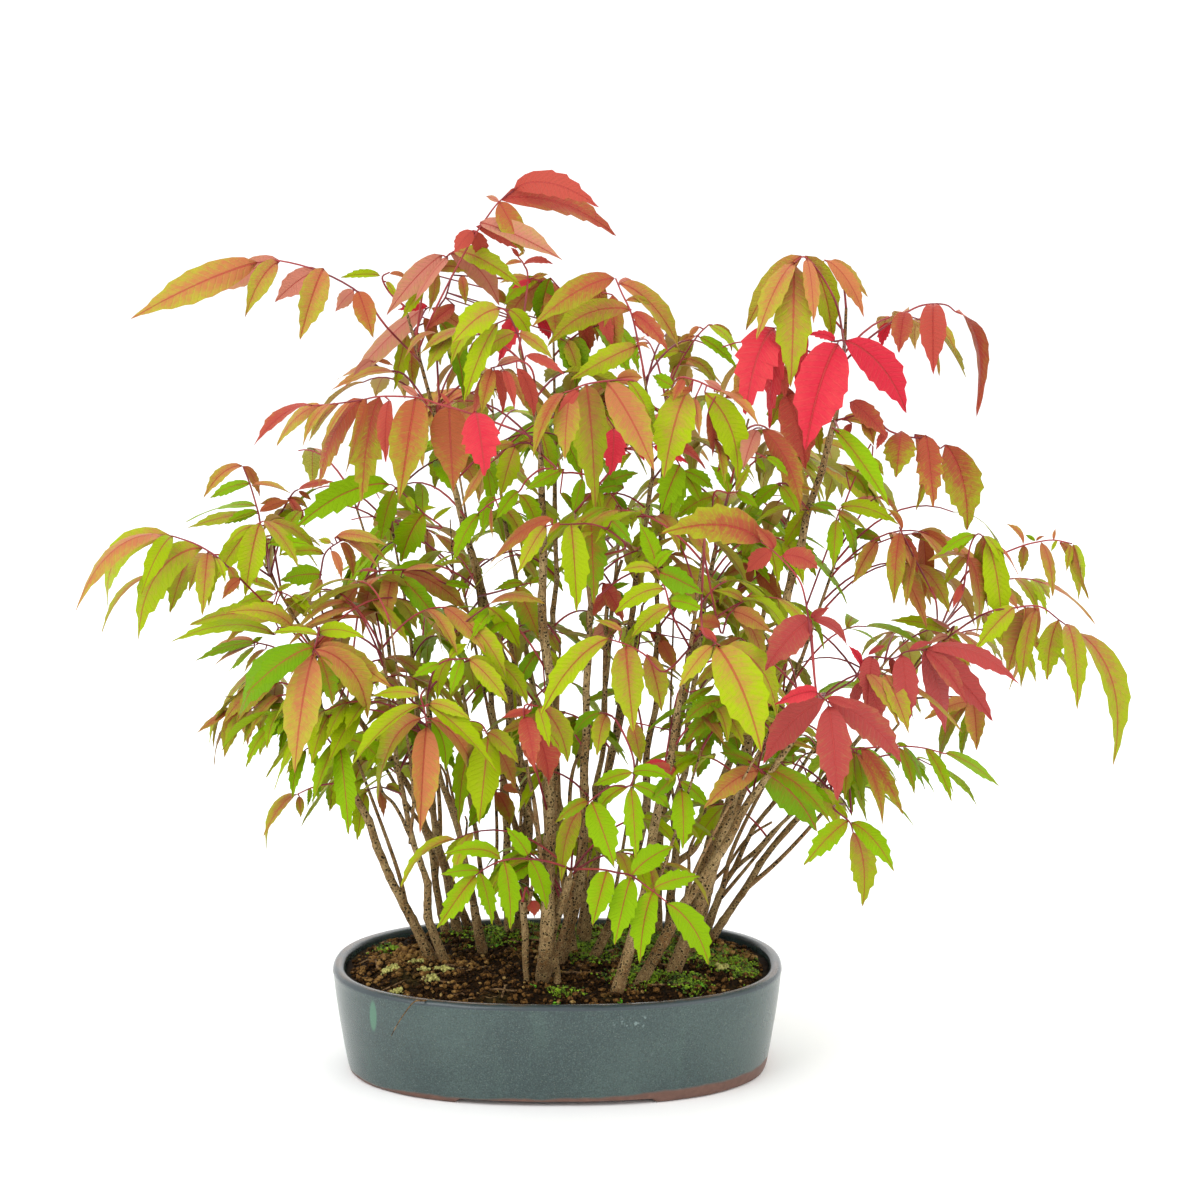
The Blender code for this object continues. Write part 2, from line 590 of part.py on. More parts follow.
def tree_of_tube(path, radius, sides=6):
    """A search tree for a plain tube round a path, grown by the leaflets' clearance."""
    points = []
    faces = []
    for k, (place, r) in enumerate(zip(path, radius)):
        ahead = unit(path[min(k + 1, len(path) - 1)] - path[max(k - 1, 0)])
        one = unit(np.cross(ahead, (0.31, 0.95, 0.05)))
        two = np.cross(ahead, one)
        for i in range(sides):
            angle = 2 * math.pi * i / sides
            out = one * math.cos(angle) + two * math.sin(angle)
            points.append(place + out * (r * 1.08 + LEAF_CLEARANCE))
    for k in range(len(path) - 1):
        for i in range(sides):
            j = (i + 1) % sides
            a = k * sides
            faces += [(a + i, a + j, a + sides + j), (a + i, a + sides + j, a + sides + i)]
    return tree_of(points, faces)


def make_foliage(name, paths, taken, collection):
    """One mass: a shoot, its stalks and its leaflets, joined; what would touch another is skipped."""
    shoot, girth, plans = leaf_plans(name, paths)
    parts = bpy.data.collections.new("parts_of_" + name)
    bpy.context.scene.collection.children.link(parts)
    others = [tree for owner, tree in taken if owner != name]
    own = []
    rows = np.arange(len(shoot))
    radii = np.linspace(girth, girth * SHOOT_TAPER, len(shoot))
    tubes = [tube(name, shoot, radii, SHOOT_SIDES, collection)]
    leaves = []
    blades = []
    for t, reach, pairs, size, hang in plans:
        place = t * (len(shoot) - 1)
        base = np.array([np.interp(place, rows, shoot[:, k]) for k in range(3)])
        stalk = stalk_path(base, reach)
        radius = np.linspace(STALK_RADIUS * STALK_TAPER, STALK_RADIUS, STALK_RINGS)
        tree = tree_of_tube(stalk, radius, STALK_SIDES)
        if any(tree.overlap(other) for other in others):
            print(name, "stalk skipped at", np.round(base / MM), np.round(reach / MM))
            continue
        own.append(tree)
        tubes.append(tube("stalk", stalk, radius, STALK_SIDES, parts))
        for base, heading, face, length in leaflet_poses(stalk, max(pairs - 1, 1), size, hang):
            for share in LEAF_TRIES:
                pose = (base, heading, face, length * share)
                grown = tree_of(*leaflet(pose, LEAF_CLEARANCE))
                bare = tree_of(*leaflet(pose))
                if not any(grown.overlap(other) for other in others) and not any(map(bare.overlap, blades)):
                    leaves.append(leaflet(pose))
                    blades.append(bare)
                    own.append(grown)
                    break
    made = to_meshes(tubes, parts)
    trunk = made[0]
    parts.objects.unlink(trunk)
    collection.objects.link(trunk)
    for points, faces in leaves:
        mesh_object("leaflet", points, faces, parts)
    boolean(trunk, "UNION", parts)
    for item in list(parts.objects):
        bpy.data.objects.remove(item)
    bpy.data.collections.remove(parts)
    keep_main_body(trunk)
    trunk.name = name
    trunk.data.materials.clear()
    trunk.data.materials.append(finish(FOLIAGE[name][2]))
    taken += [(name, tree) for tree in own]
    return len(leaves)


def keep_main_body(item):
    """Drop loose scraps and the walls of sealed hollows, which are bodies of their own."""
    work = bmesh.new()
    work.from_mesh(item.data)
    bmesh.ops.remove_doubles(work, verts=work.verts, dist=1e-7)
    left = set(work.faces)
    bodies = []
    while left:
        group = []
        front = [left.pop()]
        while front:
            face = front.pop()
            group.append(face)
            for edge in face.edges:
                for other in edge.link_faces:
                    if other in left:
                        left.discard(other)
                        front.append(other)
        bodies.append(group)
    bodies.sort(key=len)
    scraps = [face for group in bodies[:-1] for face in group]
    if scraps:
        bmesh.ops.delete(work, geom=scraps, context="FACES")
    bmesh.ops.triangulate(work, faces=work.faces)
    work.to_mesh(item.data)
    work.free()


def main():
    clear_scene()
    plant = new_collection("japanese_wax_tree_bonsai")
    cutters = new_collection("cutters")
    make_pot(plant, cutters)
    make_soil(plant)
    paths = stem_paths()
    make_stems(paths, plant)
    taken = [(name, tree_of_tube(path, radius)) for name, (path, radius) in paths.items()]
    for name in FOLIAGE:
        shoot, girth, _ = leaf_plans(name, paths)
        taken.append((name, tree_of_tube(shoot[1:], np.full(len(shoot) - 1, girth))))
    count = 0
    for name in FOLIAGE:
        count += make_foliage(name, paths, taken, plant)
    triangles = sum(len(face.vertices) - 2 for item in plant.objects for face in item.data.polygons)
    print("leaflets", count, "triangles", triangles)


main()
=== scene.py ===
# %% [markdown]
# # A Japanese wax tree bonsai
#
# A few dozen slender seedling stems stand in a shallow oval pot. Their leaves are pinnate: pairs of
# long pointed leaflets along a red stalk, turning from green through bronze to scarlet. The solid
# model of the plant is loaded first. Its stems say where every limb runs, and its masses of leaves
# say how far the crown reaches. The lesson then replaces it, piece by piece, with finer surfaces.

# %% Load the solid model
import math
import random

import bpy
import numpy as np
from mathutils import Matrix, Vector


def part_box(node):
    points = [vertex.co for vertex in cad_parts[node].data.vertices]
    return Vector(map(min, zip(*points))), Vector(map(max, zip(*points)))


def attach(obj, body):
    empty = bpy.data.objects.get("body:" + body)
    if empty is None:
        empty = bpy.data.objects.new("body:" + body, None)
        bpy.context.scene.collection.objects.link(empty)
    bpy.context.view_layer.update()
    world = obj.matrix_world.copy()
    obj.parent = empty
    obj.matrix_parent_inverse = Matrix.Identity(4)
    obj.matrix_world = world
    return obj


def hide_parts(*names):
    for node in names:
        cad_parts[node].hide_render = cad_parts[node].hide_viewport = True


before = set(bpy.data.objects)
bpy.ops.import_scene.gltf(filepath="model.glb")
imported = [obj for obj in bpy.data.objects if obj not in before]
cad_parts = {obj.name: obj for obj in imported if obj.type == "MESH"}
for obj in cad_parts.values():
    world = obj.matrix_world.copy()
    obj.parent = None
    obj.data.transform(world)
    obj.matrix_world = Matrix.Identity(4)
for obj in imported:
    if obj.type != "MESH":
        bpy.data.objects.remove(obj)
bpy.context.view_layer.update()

# %% [markdown]
# ## Sizes that drive everything
#
# The pot's place comes from the solid model, so nothing here has to be fitted. The other sizes are
# those of the real things, in metres: the pot's wall, the lip, the soil's height, the girth of a
# leaf stalk. Lengths in the two tables further down are in millimetres, as a gardener would read
# them off a ruler, and MM turns them into metres.

# %% Sizes
MM = 0.001
POT_LOW, POT_HIGH = (np.array(corner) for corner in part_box("pot"))
POT_X, POT_Y = (POT_LOW[:2] + POT_HIGH[:2]) / 2
POT_LENGTH, POT_DEPTH, POT_HEIGHT = 0.245, 0.181, 0.057
POT_BASE_INSET, POT_BOW, POT_WALL = 0.0075, 1.35, 0.0062
FOOT_HEIGHT, FOOT_WIDTH, FOOT_GAP = 0.0028, 0.011, 0.104
OVAL_POWER = 2.35
SOIL_TOP, SOIL_EDGE = 0.056, 0.053
GAP = 0.0003
SEED = 20
CAMERA_AWAY, CAMERA_HEIGHT, CAMERA_ASIDE = 1.8, 0.5626, 0.0233
CAMERA_TILT, LENS = 0.1684, 101.82
print("pot middle", round(float(POT_X), 4), round(float(POT_Y), 4))

# %% [markdown]
# ## From arrays to meshes
#
# Every surface here is an array of points, worked out all at once, and an array of faces. A mesh
# could also be filled point by point, but a plant has a million corners and a Python loop over them
# would take minutes. `foreach_set` hands whole arrays to Blender. Faces are counter-clockwise seen
# from outside, so that they point outwards.

# %% Mesh helpers
def put_mesh(name, points, *face_sets):
    """A mesh object at the origin from points (n, 3) and arrays of faces, each array of one size."""
    corners = np.concatenate([f.ravel() for f in face_sets]).astype(np.int32)
    sizes = np.concatenate([np.full(len(f), f.shape[1]) for f in face_sets]).astype(np.int32)
    starts = np.concatenate([[0], np.cumsum(sizes)[:-1]]).astype(np.int32)
    mesh = bpy.data.meshes.new(name)
    mesh.vertices.add(len(points))
    mesh.vertices.foreach_set("co", np.asarray(points, np.float32).ravel())
    mesh.loops.add(len(corners))
    mesh.loops.foreach_set("vertex_index", corners)
    mesh.polygons.add(len(sizes))
    mesh.polygons.foreach_set("loop_start", starts)
    mesh.polygons.foreach_set("use_smooth", np.ones(len(sizes), bool))
    mesh.update(calc_edges=True)
    item = bpy.data.objects.new(name, mesh)
    bpy.context.scene.collection.objects.link(item)
    return item


def dress(item, material, nodes=()):
    """Give a piece its material slot and body, and hide the solid nodes that it stands for."""
    item.data.materials.append(material)
    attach(item, "root")
    if nodes:
        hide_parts(*nodes)
    print(item.name, len(item.data.vertices), "points", len(item.data.polygons), "faces")
    return item


def grid_faces(rows, columns):
    """Four-sided faces between neighbouring rows of a grid whose columns run round and close."""
    row = np.arange(rows - 1)[:, None] * columns
    one = np.arange(columns)[None]
    two = (one + 1) % columns
    return np.stack([row + one, row + two, row + columns + two, row + columns + one], -1).reshape(-1, 4)


def fan_faces(first, columns, centre, turn=1):
    """Triangles from a ring of points to a centre point; turn is -1 for a cap that looks the other way."""
    one = first + np.arange(columns)
    two = first + (np.arange(columns) + 1) % columns
    fan = np.stack([one, two, np.full(columns, centre)], -1)
    return fan[:, ::turn]


def unit(vectors):
    """Vectors of the same directions and length one, along the last axis."""
    return vectors / np.linalg.norm(vectors, axis=-1, keepdims=True)


def smoothstep(low, high, value):
    """0 below low, 1 above high, and an S-shaped rise, 3t^2 - 2t^3, between them."""
    t = np.clip((value - low) / (high - low), 0, 1)
    return t * t * (3 - 2 * t)


def ripples(u, v, seed, waves=14, reach=(1.0, 6.0)):
    """Smooth noise of about unit size: a sum of cosine waves of seeded directions and phases."""
    rng = np.random.default_rng(seed)
    total = 0
    for _ in range(waves):
        pace = rng.uniform(*reach)
        turn = rng.uniform(0, 2 * math.pi)
        total = total + np.cos(pace * (u * math.cos(turn) + v * math.sin(turn)) + rng.uniform(0, 6.3))
    return total / math.sqrt(waves / 2)

# %% [markdown]
# ## Materials from nodes
#
# A material is a small graph. Writing the graph by hand takes three lines for every node, so one
# helper adds a node, plugs its inputs in order and hands back its output. The colours are given as
# they look on a screen and turned into the linear values that a shader reckons with.

# %% Material helpers
def tone(red, green, blue):
    """A linear colour with alpha from screen values of 0 to 255."""
    return tuple((v / 255) ** 2.2 for v in (red, green, blue)) + (1.0,)


def plug(tree, socket, value):
    if isinstance(value, bpy.types.NodeSocket):
        tree.links.new(value, socket)
    elif value is not None:
        socket.default_value = value


def wire(tree, kind, *inputs, **settings):
    """Add a shader node, set its properties, plug its inputs in order, and give its first output."""
    node = tree.nodes.new("ShaderNode" + kind)
    for key, value in settings.items():
        setattr(node, key, value)
    for socket, value in zip(node.inputs, inputs):
        plug(tree, socket, value)
    return node.outputs[0]


def calc(tree, operation, *inputs, clamp=False):
    return wire(tree, "Math", *inputs, operation=operation, use_clamp=clamp)


def blend(tree, factor, one, two, mode="MIX"):
    """Mix two colours by a factor."""
    node = tree.nodes.new("ShaderNodeMix")
    node.data_type = "RGBA"
    node.blend_type = mode
    for place, value in ((0, factor), (6, one), (7, two)):
        plug(tree, node.inputs[place], value)
    return node.outputs[2]


def noise(tree, vector, scale, detail=3.0, roughness=0.55):
    """Noise between 0 and 1, mostly between 0.3 and 0.7."""
    node = tree.nodes.new("ShaderNodeTexNoise")
    plug(tree, node.inputs["Vector"], vector)
    node.inputs["Scale"].default_value = scale
    node.inputs["Detail"].default_value = detail
    node.inputs["Roughness"].default_value = roughness
    return node.outputs["Fac"]


def rise(tree, value, low, high):
    """A smooth step from 0 at low to 1 at high; low above high turns it round."""
    node = tree.nodes.new("ShaderNodeMapRange")
    node.interpolation_type = "SMOOTHSTEP"
    plug(tree, node.inputs["Value"], value)
    node.inputs["From Min"].default_value = min(low, high)
    node.inputs["From Max"].default_value = max(low, high)
    node.inputs["To Min"].default_value = 0.0 if low < high else 1.0
    node.inputs["To Max"].default_value = 1.0 if low < high else 0.0
    return node.outputs["Result"]


def new_material(name, roughness):
    """A material with a Principled shader, and its tree, shader and Object coordinates."""
    material = bpy.data.materials.new(name)
    material.use_nodes = True
    tree = material.node_tree
    shader = tree.nodes["Principled BSDF"]
    shader.inputs["Roughness"].default_value = roughness
    place = tree.nodes.new("ShaderNodeTexCoord").outputs["Object"]
    return material, tree, shader, place


def emboss(tree, shader, height, strength, distance):
    """Bump from a height value; distance is how tall a height of 1 stands, in metres."""
    node = tree.nodes.new("ShaderNodeBump")
    node.inputs["Strength"].default_value = strength
    node.inputs["Distance"].default_value = distance
    plug(tree, node.inputs["Height"], height)
    tree.links.new(node.outputs["Normal"], shader.inputs["Normal"])

# %% [markdown]
# ## The pot
#
# The real pot is stoneware, thrown or pressed to a full oval and glazed all over but for its foot.
# It could be a scaled lathe shape, but a scaled circle is too pointed at its ends. The outline used
# here is |x/a|^n + |y/b|^n = 1 with n a little over 2, which gives the fuller ends. The section, from
# under the foot over the lip to the inside floor, is carried round that outline. The foot ring is
# lifted where the two gaps between the feet are.

# %% Pot surface
POT_COLUMNS = 192
LIP_ROWS = 9


def oval(inset, z, columns=POT_COLUMNS):
    """Rows of points, one for each inset and height, on |x/a|^n + |y/b|^n = 1 about the pot's middle."""
    angle = np.linspace(0, 2 * math.pi, columns, endpoint=False)
    c, s = np.cos(angle), np.sin(angle)
    x = np.sign(c) * np.abs(c) ** (2 / OVAL_POWER)
    y = np.sign(s) * np.abs(s) ** (2 / OVAL_POWER)
    inset = np.asarray(inset, float)[:, None]
    z = np.broadcast_to(np.asarray(z, float)[:, None], (len(inset), columns))
    return np.stack([POT_X + x * (POT_LENGTH / 2 - inset), POT_Y + y * (POT_DEPTH / 2 - inset), z], -1)


def outer_inset(z):
    """How far the outer wall stands in from the lip at height z."""
    up = np.clip((np.asarray(z) - FOOT_HEIGHT) / (POT_HEIGHT - FOOT_HEIGHT), 0, 1)
    return POT_BASE_INSET * (1 - up) ** POT_BOW


def pot_section():
    """The section as insets and heights, from the middle of the underside to the inside floor."""
    foot = POT_BASE_INSET + FOOT_WIDTH
    under = [(0.060, FOOT_HEIGHT), (foot + 0.001, FOOT_HEIGHT), (foot, FOOT_HEIGHT - 0.0006), (foot, 0.0004),
             (foot - 0.0005, 0.0), (POT_BASE_INSET + 0.0022, 0.0), (POT_BASE_INSET + 0.0008, 0.0006)]
    wall = [(outer_inset(z), z) for z in np.linspace(FOOT_HEIGHT, POT_HEIGHT - 0.0042, 16)]
    turn = np.linspace(-0.15, math.pi + 0.15, LIP_ROWS)
    half = POT_WALL / 2
    lip = [(half - half * 1.05 * math.cos(a), POT_HEIGHT - 0.0027 + 0.0027 * math.sin(a)) for a in turn]
    inside = [(POT_WALL + outer_inset(z), z) for z in (POT_HEIGHT - 0.005, 0.044, 0.036, 0.026, 0.016)]
    floor = [(POT_WALL + 0.012, 0.0085), (0.045, 0.0075)]
    return np.array(under + wall + lip + inside + floor)


section = pot_section()
rows = oval(section[:, 0], section[:, 1])
low = rows[..., 2] < FOOT_HEIGHT - 0.0001
in_gap = smoothstep(FOOT_GAP / 2 + 0.0008, FOOT_GAP / 2 - 0.0008, np.abs(rows[..., 0] - POT_X))
rows[..., 2] += np.where(low, (FOOT_HEIGHT - 0.0002 - rows[..., 2]) * in_gap, 0)
wobble = ripples(rows[..., 0] * 60, rows[..., 2] * 90 + rows[..., 1] * 40, 5) * 0.00012
rows[..., 1] += wobble * np.sign(rows[..., 1] - POT_Y)
count = rows.shape[0] * rows.shape[1]
centres = [[POT_X, POT_Y, FOOT_HEIGHT], [POT_X, POT_Y, 0.0075]]
pot = put_mesh("pot_glazed", np.vstack([rows.reshape(-1, 3), centres]), grid_faces(len(rows), POT_COLUMNS),
               fan_faces(0, POT_COLUMNS, count, -1), fan_faces(count - POT_COLUMNS, POT_COLUMNS, count + 1))
pot.data.set_sharp_from_angle(angle=math.radians(50))
print("pot section", len(section), "rows")

# %% [markdown]
# ## The glaze
#
# The glaze is a blue-grey with a green cast. It is cloudy, finely speckled, darker where it is thick on
# the lip, brown where it runs thin over the lip's top, and stops short of the foot, where the bare clay
# shows as a brown band. All of that depends on height and on place, so the material reads Object
# coordinates: z picks out the lip and the foot, noise breaks up the edges, and two spots on the
# front wall are a scuffed patch and a green drip.

# %% Glaze material
# Spot on the front wall: its place along x from the pot's middle and its height, and its half sizes
SCUFF = (0.040, 0.0475, 0.011, 0.004)
DRIP = (-0.0971, 0.0430, 0.0021, 0.0095)


def spot(tree, place, spot_sizes):
    """1 inside an upright ellipse on the front wall and 0 outside, with a soft edge."""
    across, height, half_width, half_height = spot_sizes
    apart = wire(tree, "VectorMath", place, (POT_X + across, 0, height), operation="SUBTRACT")
    apart = wire(tree, "VectorMath", apart, (1 / half_width, 0, 1 / half_height), operation="MULTIPLY")
    apart = wire(tree, "VectorMath", apart, operation="LENGTH").node.outputs["Value"]
    facing = rise(tree, wire(tree, "SeparateXYZ", place).node.outputs[1], POT_Y, POT_Y - 0.02)
    return calc(tree, "MULTIPLY", rise(tree, apart, 1.1, 0.7), facing)


def glaze_material():
    material, tree, shader, place = new_material("blue_grey_glaze", 0.28)
    shader.inputs["Coat Weight"].default_value = 0.18
    shader.inputs["Coat Roughness"].default_value = 0.12
    x, y, z = (wire(tree, "SeparateXYZ", place).node.outputs[i] for i in range(3))
    cloud = noise(tree, place, 18.0, 4.0)
    fine = noise(tree, place, 1300.0, 2.0)
    colour = blend(tree, rise(tree, cloud, 0.35, 0.68), tone(52, 68, 67), tone(63, 80, 77))
    streak = noise(tree, wire(tree, "Mapping", place, None, None, (1.0, 1.0, 0.12)), 60.0, 3.0)
    colour = blend(tree, calc(tree, "MULTIPLY", rise(tree, streak, 0.54, 0.74), 0.5), colour, tone(70, 92, 85))
    colour = blend(tree, calc(tree, "MULTIPLY", rise(tree, fine, 0.50, 0.66), 0.55), colour, tone(38, 50, 50))
    colour = blend(tree, calc(tree, "MULTIPLY", rise(tree, fine, 0.48, 0.34), 0.45), colour, tone(80, 100, 98))
    speck = wire(tree, "TexVoronoi", place, None, 700.0).node.outputs["Distance"]
    colour = blend(tree, calc(tree, "MULTIPLY", rise(tree, speck, 0.20, 0.08), 0.6), colour, tone(118, 128, 120))
    ragged = calc(tree, "MULTIPLY_ADD", noise(tree, place, 70.0, 3.0), 0.0024, z)
    wavy = calc(tree, "MULTIPLY_ADD", noise(tree, place, 30.0, 2.0), 0.0008, z)
    lip = rise(tree, wavy, POT_HEIGHT - 0.0026, POT_HEIGHT - 0.0019)
    colour = blend(tree, calc(tree, "MULTIPLY", lip, 0.80), colour, tone(46, 56, 62))
    thin = calc(tree, "MULTIPLY", rise(tree, cloud, 0.40, 0.58), 0.75)
    brown = rise(tree, ragged, POT_HEIGHT + 0.0006, POT_HEIGHT + 0.0011)
    colour = blend(tree, calc(tree, "MULTIPLY", brown, thin), colour, tone(92, 72, 56))
    scuffed = calc(tree, "MULTIPLY", spot(tree, place, SCUFF), rise(tree, noise(tree, place, 420.0, 4.0), 0.55, 0.64))
    colour = blend(tree, calc(tree, "MULTIPLY", scuffed, 0.55), colour, tone(132, 152, 150))
    colour = blend(tree, calc(tree, "MULTIPLY", spot(tree, place, DRIP), 0.60), colour, tone(82, 132, 104))
    tilt = calc(tree, "MULTIPLY_ADD", x, -0.026, ragged)
    bare = rise(tree, calc(tree, "MULTIPLY_ADD", noise(tree, place, 26.0, 2.0), -0.0045, tilt), 0.0052, 0.0034)
    clay = blend(tree, noise(tree, place, 260.0, 3.0), tone(78, 54, 46), tone(122, 88, 74))
    tree.links.new(blend(tree, bare, colour, clay), shader.inputs["Base Color"])
    rough = calc(tree, "MULTIPLY_ADD", bare, 0.5, calc(tree, "MULTIPLY_ADD", cloud, 0.12, 0.2))
    tree.links.new(rough, shader.inputs["Roughness"])
    emboss(tree, shader, calc(tree, "ADD", calc(tree, "MULTIPLY", cloud, 1.6), fine), 0.35, 0.0004)
    return material


dress(pot, glaze_material(), ["pot"])

# %% [markdown]
# ## The soil
#
# Bonsai soil is a mix of small baked clay grains, bark crumbs and root ends. It is mounded towards
# the stems and lies a few millimetres lower along the rim. The surface is a height field on a polar
# grid, the share of the way out to the rim against the angle, with three sizes of noise. A skirt
# and a floor close it. The loose crumbs on top are a piece of their own.

# %% Soil surface
SOIL_RINGS = 64
SOIL_COLUMNS = 224
INNER_LENGTH = POT_LENGTH / 2 - POT_WALL - float(outer_inset(SOIL_EDGE)) - GAP
INNER_DEPTH = POT_DEPTH / 2 - POT_WALL - float(outer_inset(SOIL_EDGE)) - GAP


def soil_height(x, y):
    """Height of the soil at a place: a mound that falls to the rim, with waves of three sizes."""
    out = (np.abs((x - POT_X) / INNER_LENGTH) ** OVAL_POWER + np.abs((y - POT_Y) / INNER_DEPTH) ** OVAL_POWER)
    out = np.clip(out, 0, 1) ** (1 / OVAL_POWER)
    mound = SOIL_EDGE - 0.0008 + (SOIL_TOP + 0.0012 - SOIL_EDGE) * (1 - smoothstep(0.80, 1.0, out))
    front = -0.0012 * smoothstep(POT_Y - 0.02, POT_Y - 0.075, y)
    lumps = 0.0007 * ripples(x * 60, y * 60, 1) + 0.0004 * ripples(x * 300, y * 300, 2)
    return mound + front + (lumps + 0.00022 * ripples(x * 900, y * 900, 3)) * (1 - 0.6 * smoothstep(0.9, 1.0, out))


share = np.linspace(1, 1 / SOIL_RINGS, SOIL_RINGS)
ring = (oval([POT_LENGTH / 2 - INNER_LENGTH], [0.0], SOIL_COLUMNS)[0] - (POT_X, POT_Y, 0))[None]
ring = ring * (1, INNER_DEPTH / (POT_DEPTH / 2 - POT_LENGTH / 2 + INNER_LENGTH), 1)
top = ring * share[:, None, None] + (POT_X, POT_Y, 0)
top[..., 2] = soil_height(top[..., 0], top[..., 1])
skirt = np.stack([oval([POT_WALL + float(outer_inset(z)) + GAP + extra], [z], SOIL_COLUMNS)[0]
                  for z, extra in ((0.0078, 0.0125), (0.020, 0), (0.034, 0))])
rows = np.concatenate([skirt, top])
count = rows.shape[0] * rows.shape[1]
centres = [[POT_X, POT_Y, 0.0078], [POT_X, POT_Y, float(soil_height(POT_X, POT_Y))]]
soil = put_mesh("soil_mound", np.vstack([rows.reshape(-1, 3), centres]), grid_faces(len(rows), SOIL_COLUMNS),
                fan_faces(0, SOIL_COLUMNS, count, -1),
                fan_faces(count - SOIL_COLUMNS, SOIL_COLUMNS, count + 1))


def soil_material(name, dark, light, grain):
    material, tree, shader, place = new_material(name, 0.95)
    shader.inputs["Specular IOR Level"].default_value = 0.12
    broad = noise(tree, place, 40.0, 4.0)
    small = noise(tree, place, grain, 3.0)
    colour = blend(tree, rise(tree, small, 0.34, 0.66), dark, light)
    colour = blend(tree, calc(tree, "MULTIPLY", rise(tree, broad, 0.55, 0.75), 0.5), colour, tone(70, 64, 34))
    tree.links.new(colour, shader.inputs["Base Color"])
    emboss(tree, shader, small, 0.8, 0.0008)
    return material


dress(soil, soil_material("moist_soil", tone(14, 9, 4), tone(48, 33, 16), 700.0), ["soil"])

# %% [markdown]
# ## Crumbs, moss and litter
#
# Each crumb is an icosahedron with its twelve corners pushed in and out at random: twenty faces are
# enough for a grain two millimetres wide. All of the grains of a kind come from one array operation.
# Moss is knots of smaller round grains with tiny three-sided blades on them, lichen is the same in
# yellow, and the litter is a few twigs and a thin root that has slipped over the rim.

# %% Crumbs
GOLDEN = (1 + math.sqrt(5)) / 2
ICO_POINTS = unit(np.array([(-1, GOLDEN, 0), (1, GOLDEN, 0), (-1, -GOLDEN, 0), (1, -GOLDEN, 0),
                            (0, -1, GOLDEN), (0, 1, GOLDEN), (0, -1, -GOLDEN), (0, 1, -GOLDEN),
                            (GOLDEN, 0, -1), (GOLDEN, 0, 1), (-GOLDEN, 0, -1), (-GOLDEN, 0, 1)]))
ICO_FACES = np.array([(0, 11, 5), (0, 5, 1), (0, 1, 7), (0, 7, 10), (0, 10, 11), (1, 5, 9), (5, 11, 4),
                      (11, 10, 2), (10, 7, 6), (7, 1, 8), (3, 9, 4), (3, 4, 2), (3, 2, 6), (3, 6, 8),
                      (3, 8, 9), (4, 9, 5), (2, 4, 11), (6, 2, 10), (8, 6, 7), (9, 8, 1)])


def scatter(rng, amount, edge=0.97):
    """Places spread evenly over the soil's oval, by throwing darts at its box."""
    x = rng.uniform(-1, 1, amount * 2)
    y = rng.uniform(-1, 1, amount * 2)
    inside = np.abs(x) ** OVAL_POWER + np.abs(y) ** OVAL_POWER < edge ** OVAL_POWER
    return (POT_X + x[inside] * INNER_LENGTH)[:amount], (POT_Y + y[inside] * INNER_DEPTH)[:amount]


def lumps(name, x, y, size, rng, sink=0.25, flat=0.8):
    """Icosahedra at soil level: corner = centre + size * random stretch * random push * direction."""
    n = len(x)
    stretch = rng.uniform(0.65, 1.25, (n, 1, 3)) * (1, 1, flat)
    push = rng.uniform(0.72, 1.15, (n, 12, 1))
    centre = np.stack([x, y, soil_height(x, y) + size * (flat - sink) * 0.5], -1)[:, None]
    points = centre + ICO_POINTS[None] * push * stretch * size[:, None, None] / 2
    faces = ICO_FACES[None] + 12 * np.arange(n)[:, None, None]
    return put_mesh(name, points.reshape(-1, 3), faces.reshape(-1, 3))


CRUMBS = (("dark_crumbs", 3400, (0.0014, 0.0042), tone(18, 12, 5), tone(70, 47, 24)),
          ("brown_crumbs", 1300, (0.0018, 0.0052), tone(54, 36, 17), tone(124, 90, 50)),
          ("pale_crumbs", 160, (0.0018, 0.0040), tone(116, 88, 50), tone(176, 146, 92)))
rng = np.random.default_rng(SEED)
for name, amount, (least, most), dark, light in CRUMBS:
    x, y = scatter(rng, amount)
    size = least + (most - least) * rng.beta(1.3, 2.6, len(x))
    dress(lumps(name, x, y, size, rng), soil_material(name, dark, light, 900.0))

# %% Moss
MOSS = (((10, 56), 34, 1700), ((54, 42), 24, 1100), ((-38, 50), 22, 700), ((88, 6), 18, 900),
        ((98, -18), 11, 420), ((44, -32), 16, 520), ((20, 18), 26, 900), ((-95, 22), 9, 140),
        ((70, -46), 11, 300), ((6, -60), 8, 120), ((60, 10), 20, 500))
LICHEN = (((-90.7, -25.9), 1, 56), ((-77.1, -8.1), 1, 56), ((-61.5, -25.9), 1, 84),
          ((-66.7, -41.4), 1, 56), ((-84.3, -52.9), 1, 28), ((89.4, -22), 1, 56), ((-71.7, -27.9), 1, 28))
SEEDLINGS = (((0.7, -77.3), 1, 14), ((-12.4, -51), 1, 14), ((33.3, -71.7), 1, 14),
             ((-34.9, 22.3), 1, 14), ((-28.4, 47.3), 1, 14), ((76.7, -47.2), 1, 14))
GRAINS = (((-77.6, -8.1), 34, 210), ((98.1, 22.3), 20, 60))
KNOT = 14


def clusters(patches, near, rng):
    """Places on the soil in knots of a dozen about each patch, and how far each is from its knot."""
    spots = []
    for (px, py), spread, amount in patches:
        spot = np.array([[px, py]]) + rng.normal(0, spread * 0.5, (max(amount // KNOT, 1), 2))
        spots.append(np.repeat(spot * MM, KNOT, axis=0))
    middle = np.concatenate(spots)
    place = middle + rng.normal(0, near, middle.shape)
    out = np.abs(place[:, 0] / INNER_LENGTH) ** OVAL_POWER + np.abs(place[:, 1] / INNER_DEPTH) ** OVAL_POWER
    return place[out < 0.9], (place - middle)[out < 0.9]


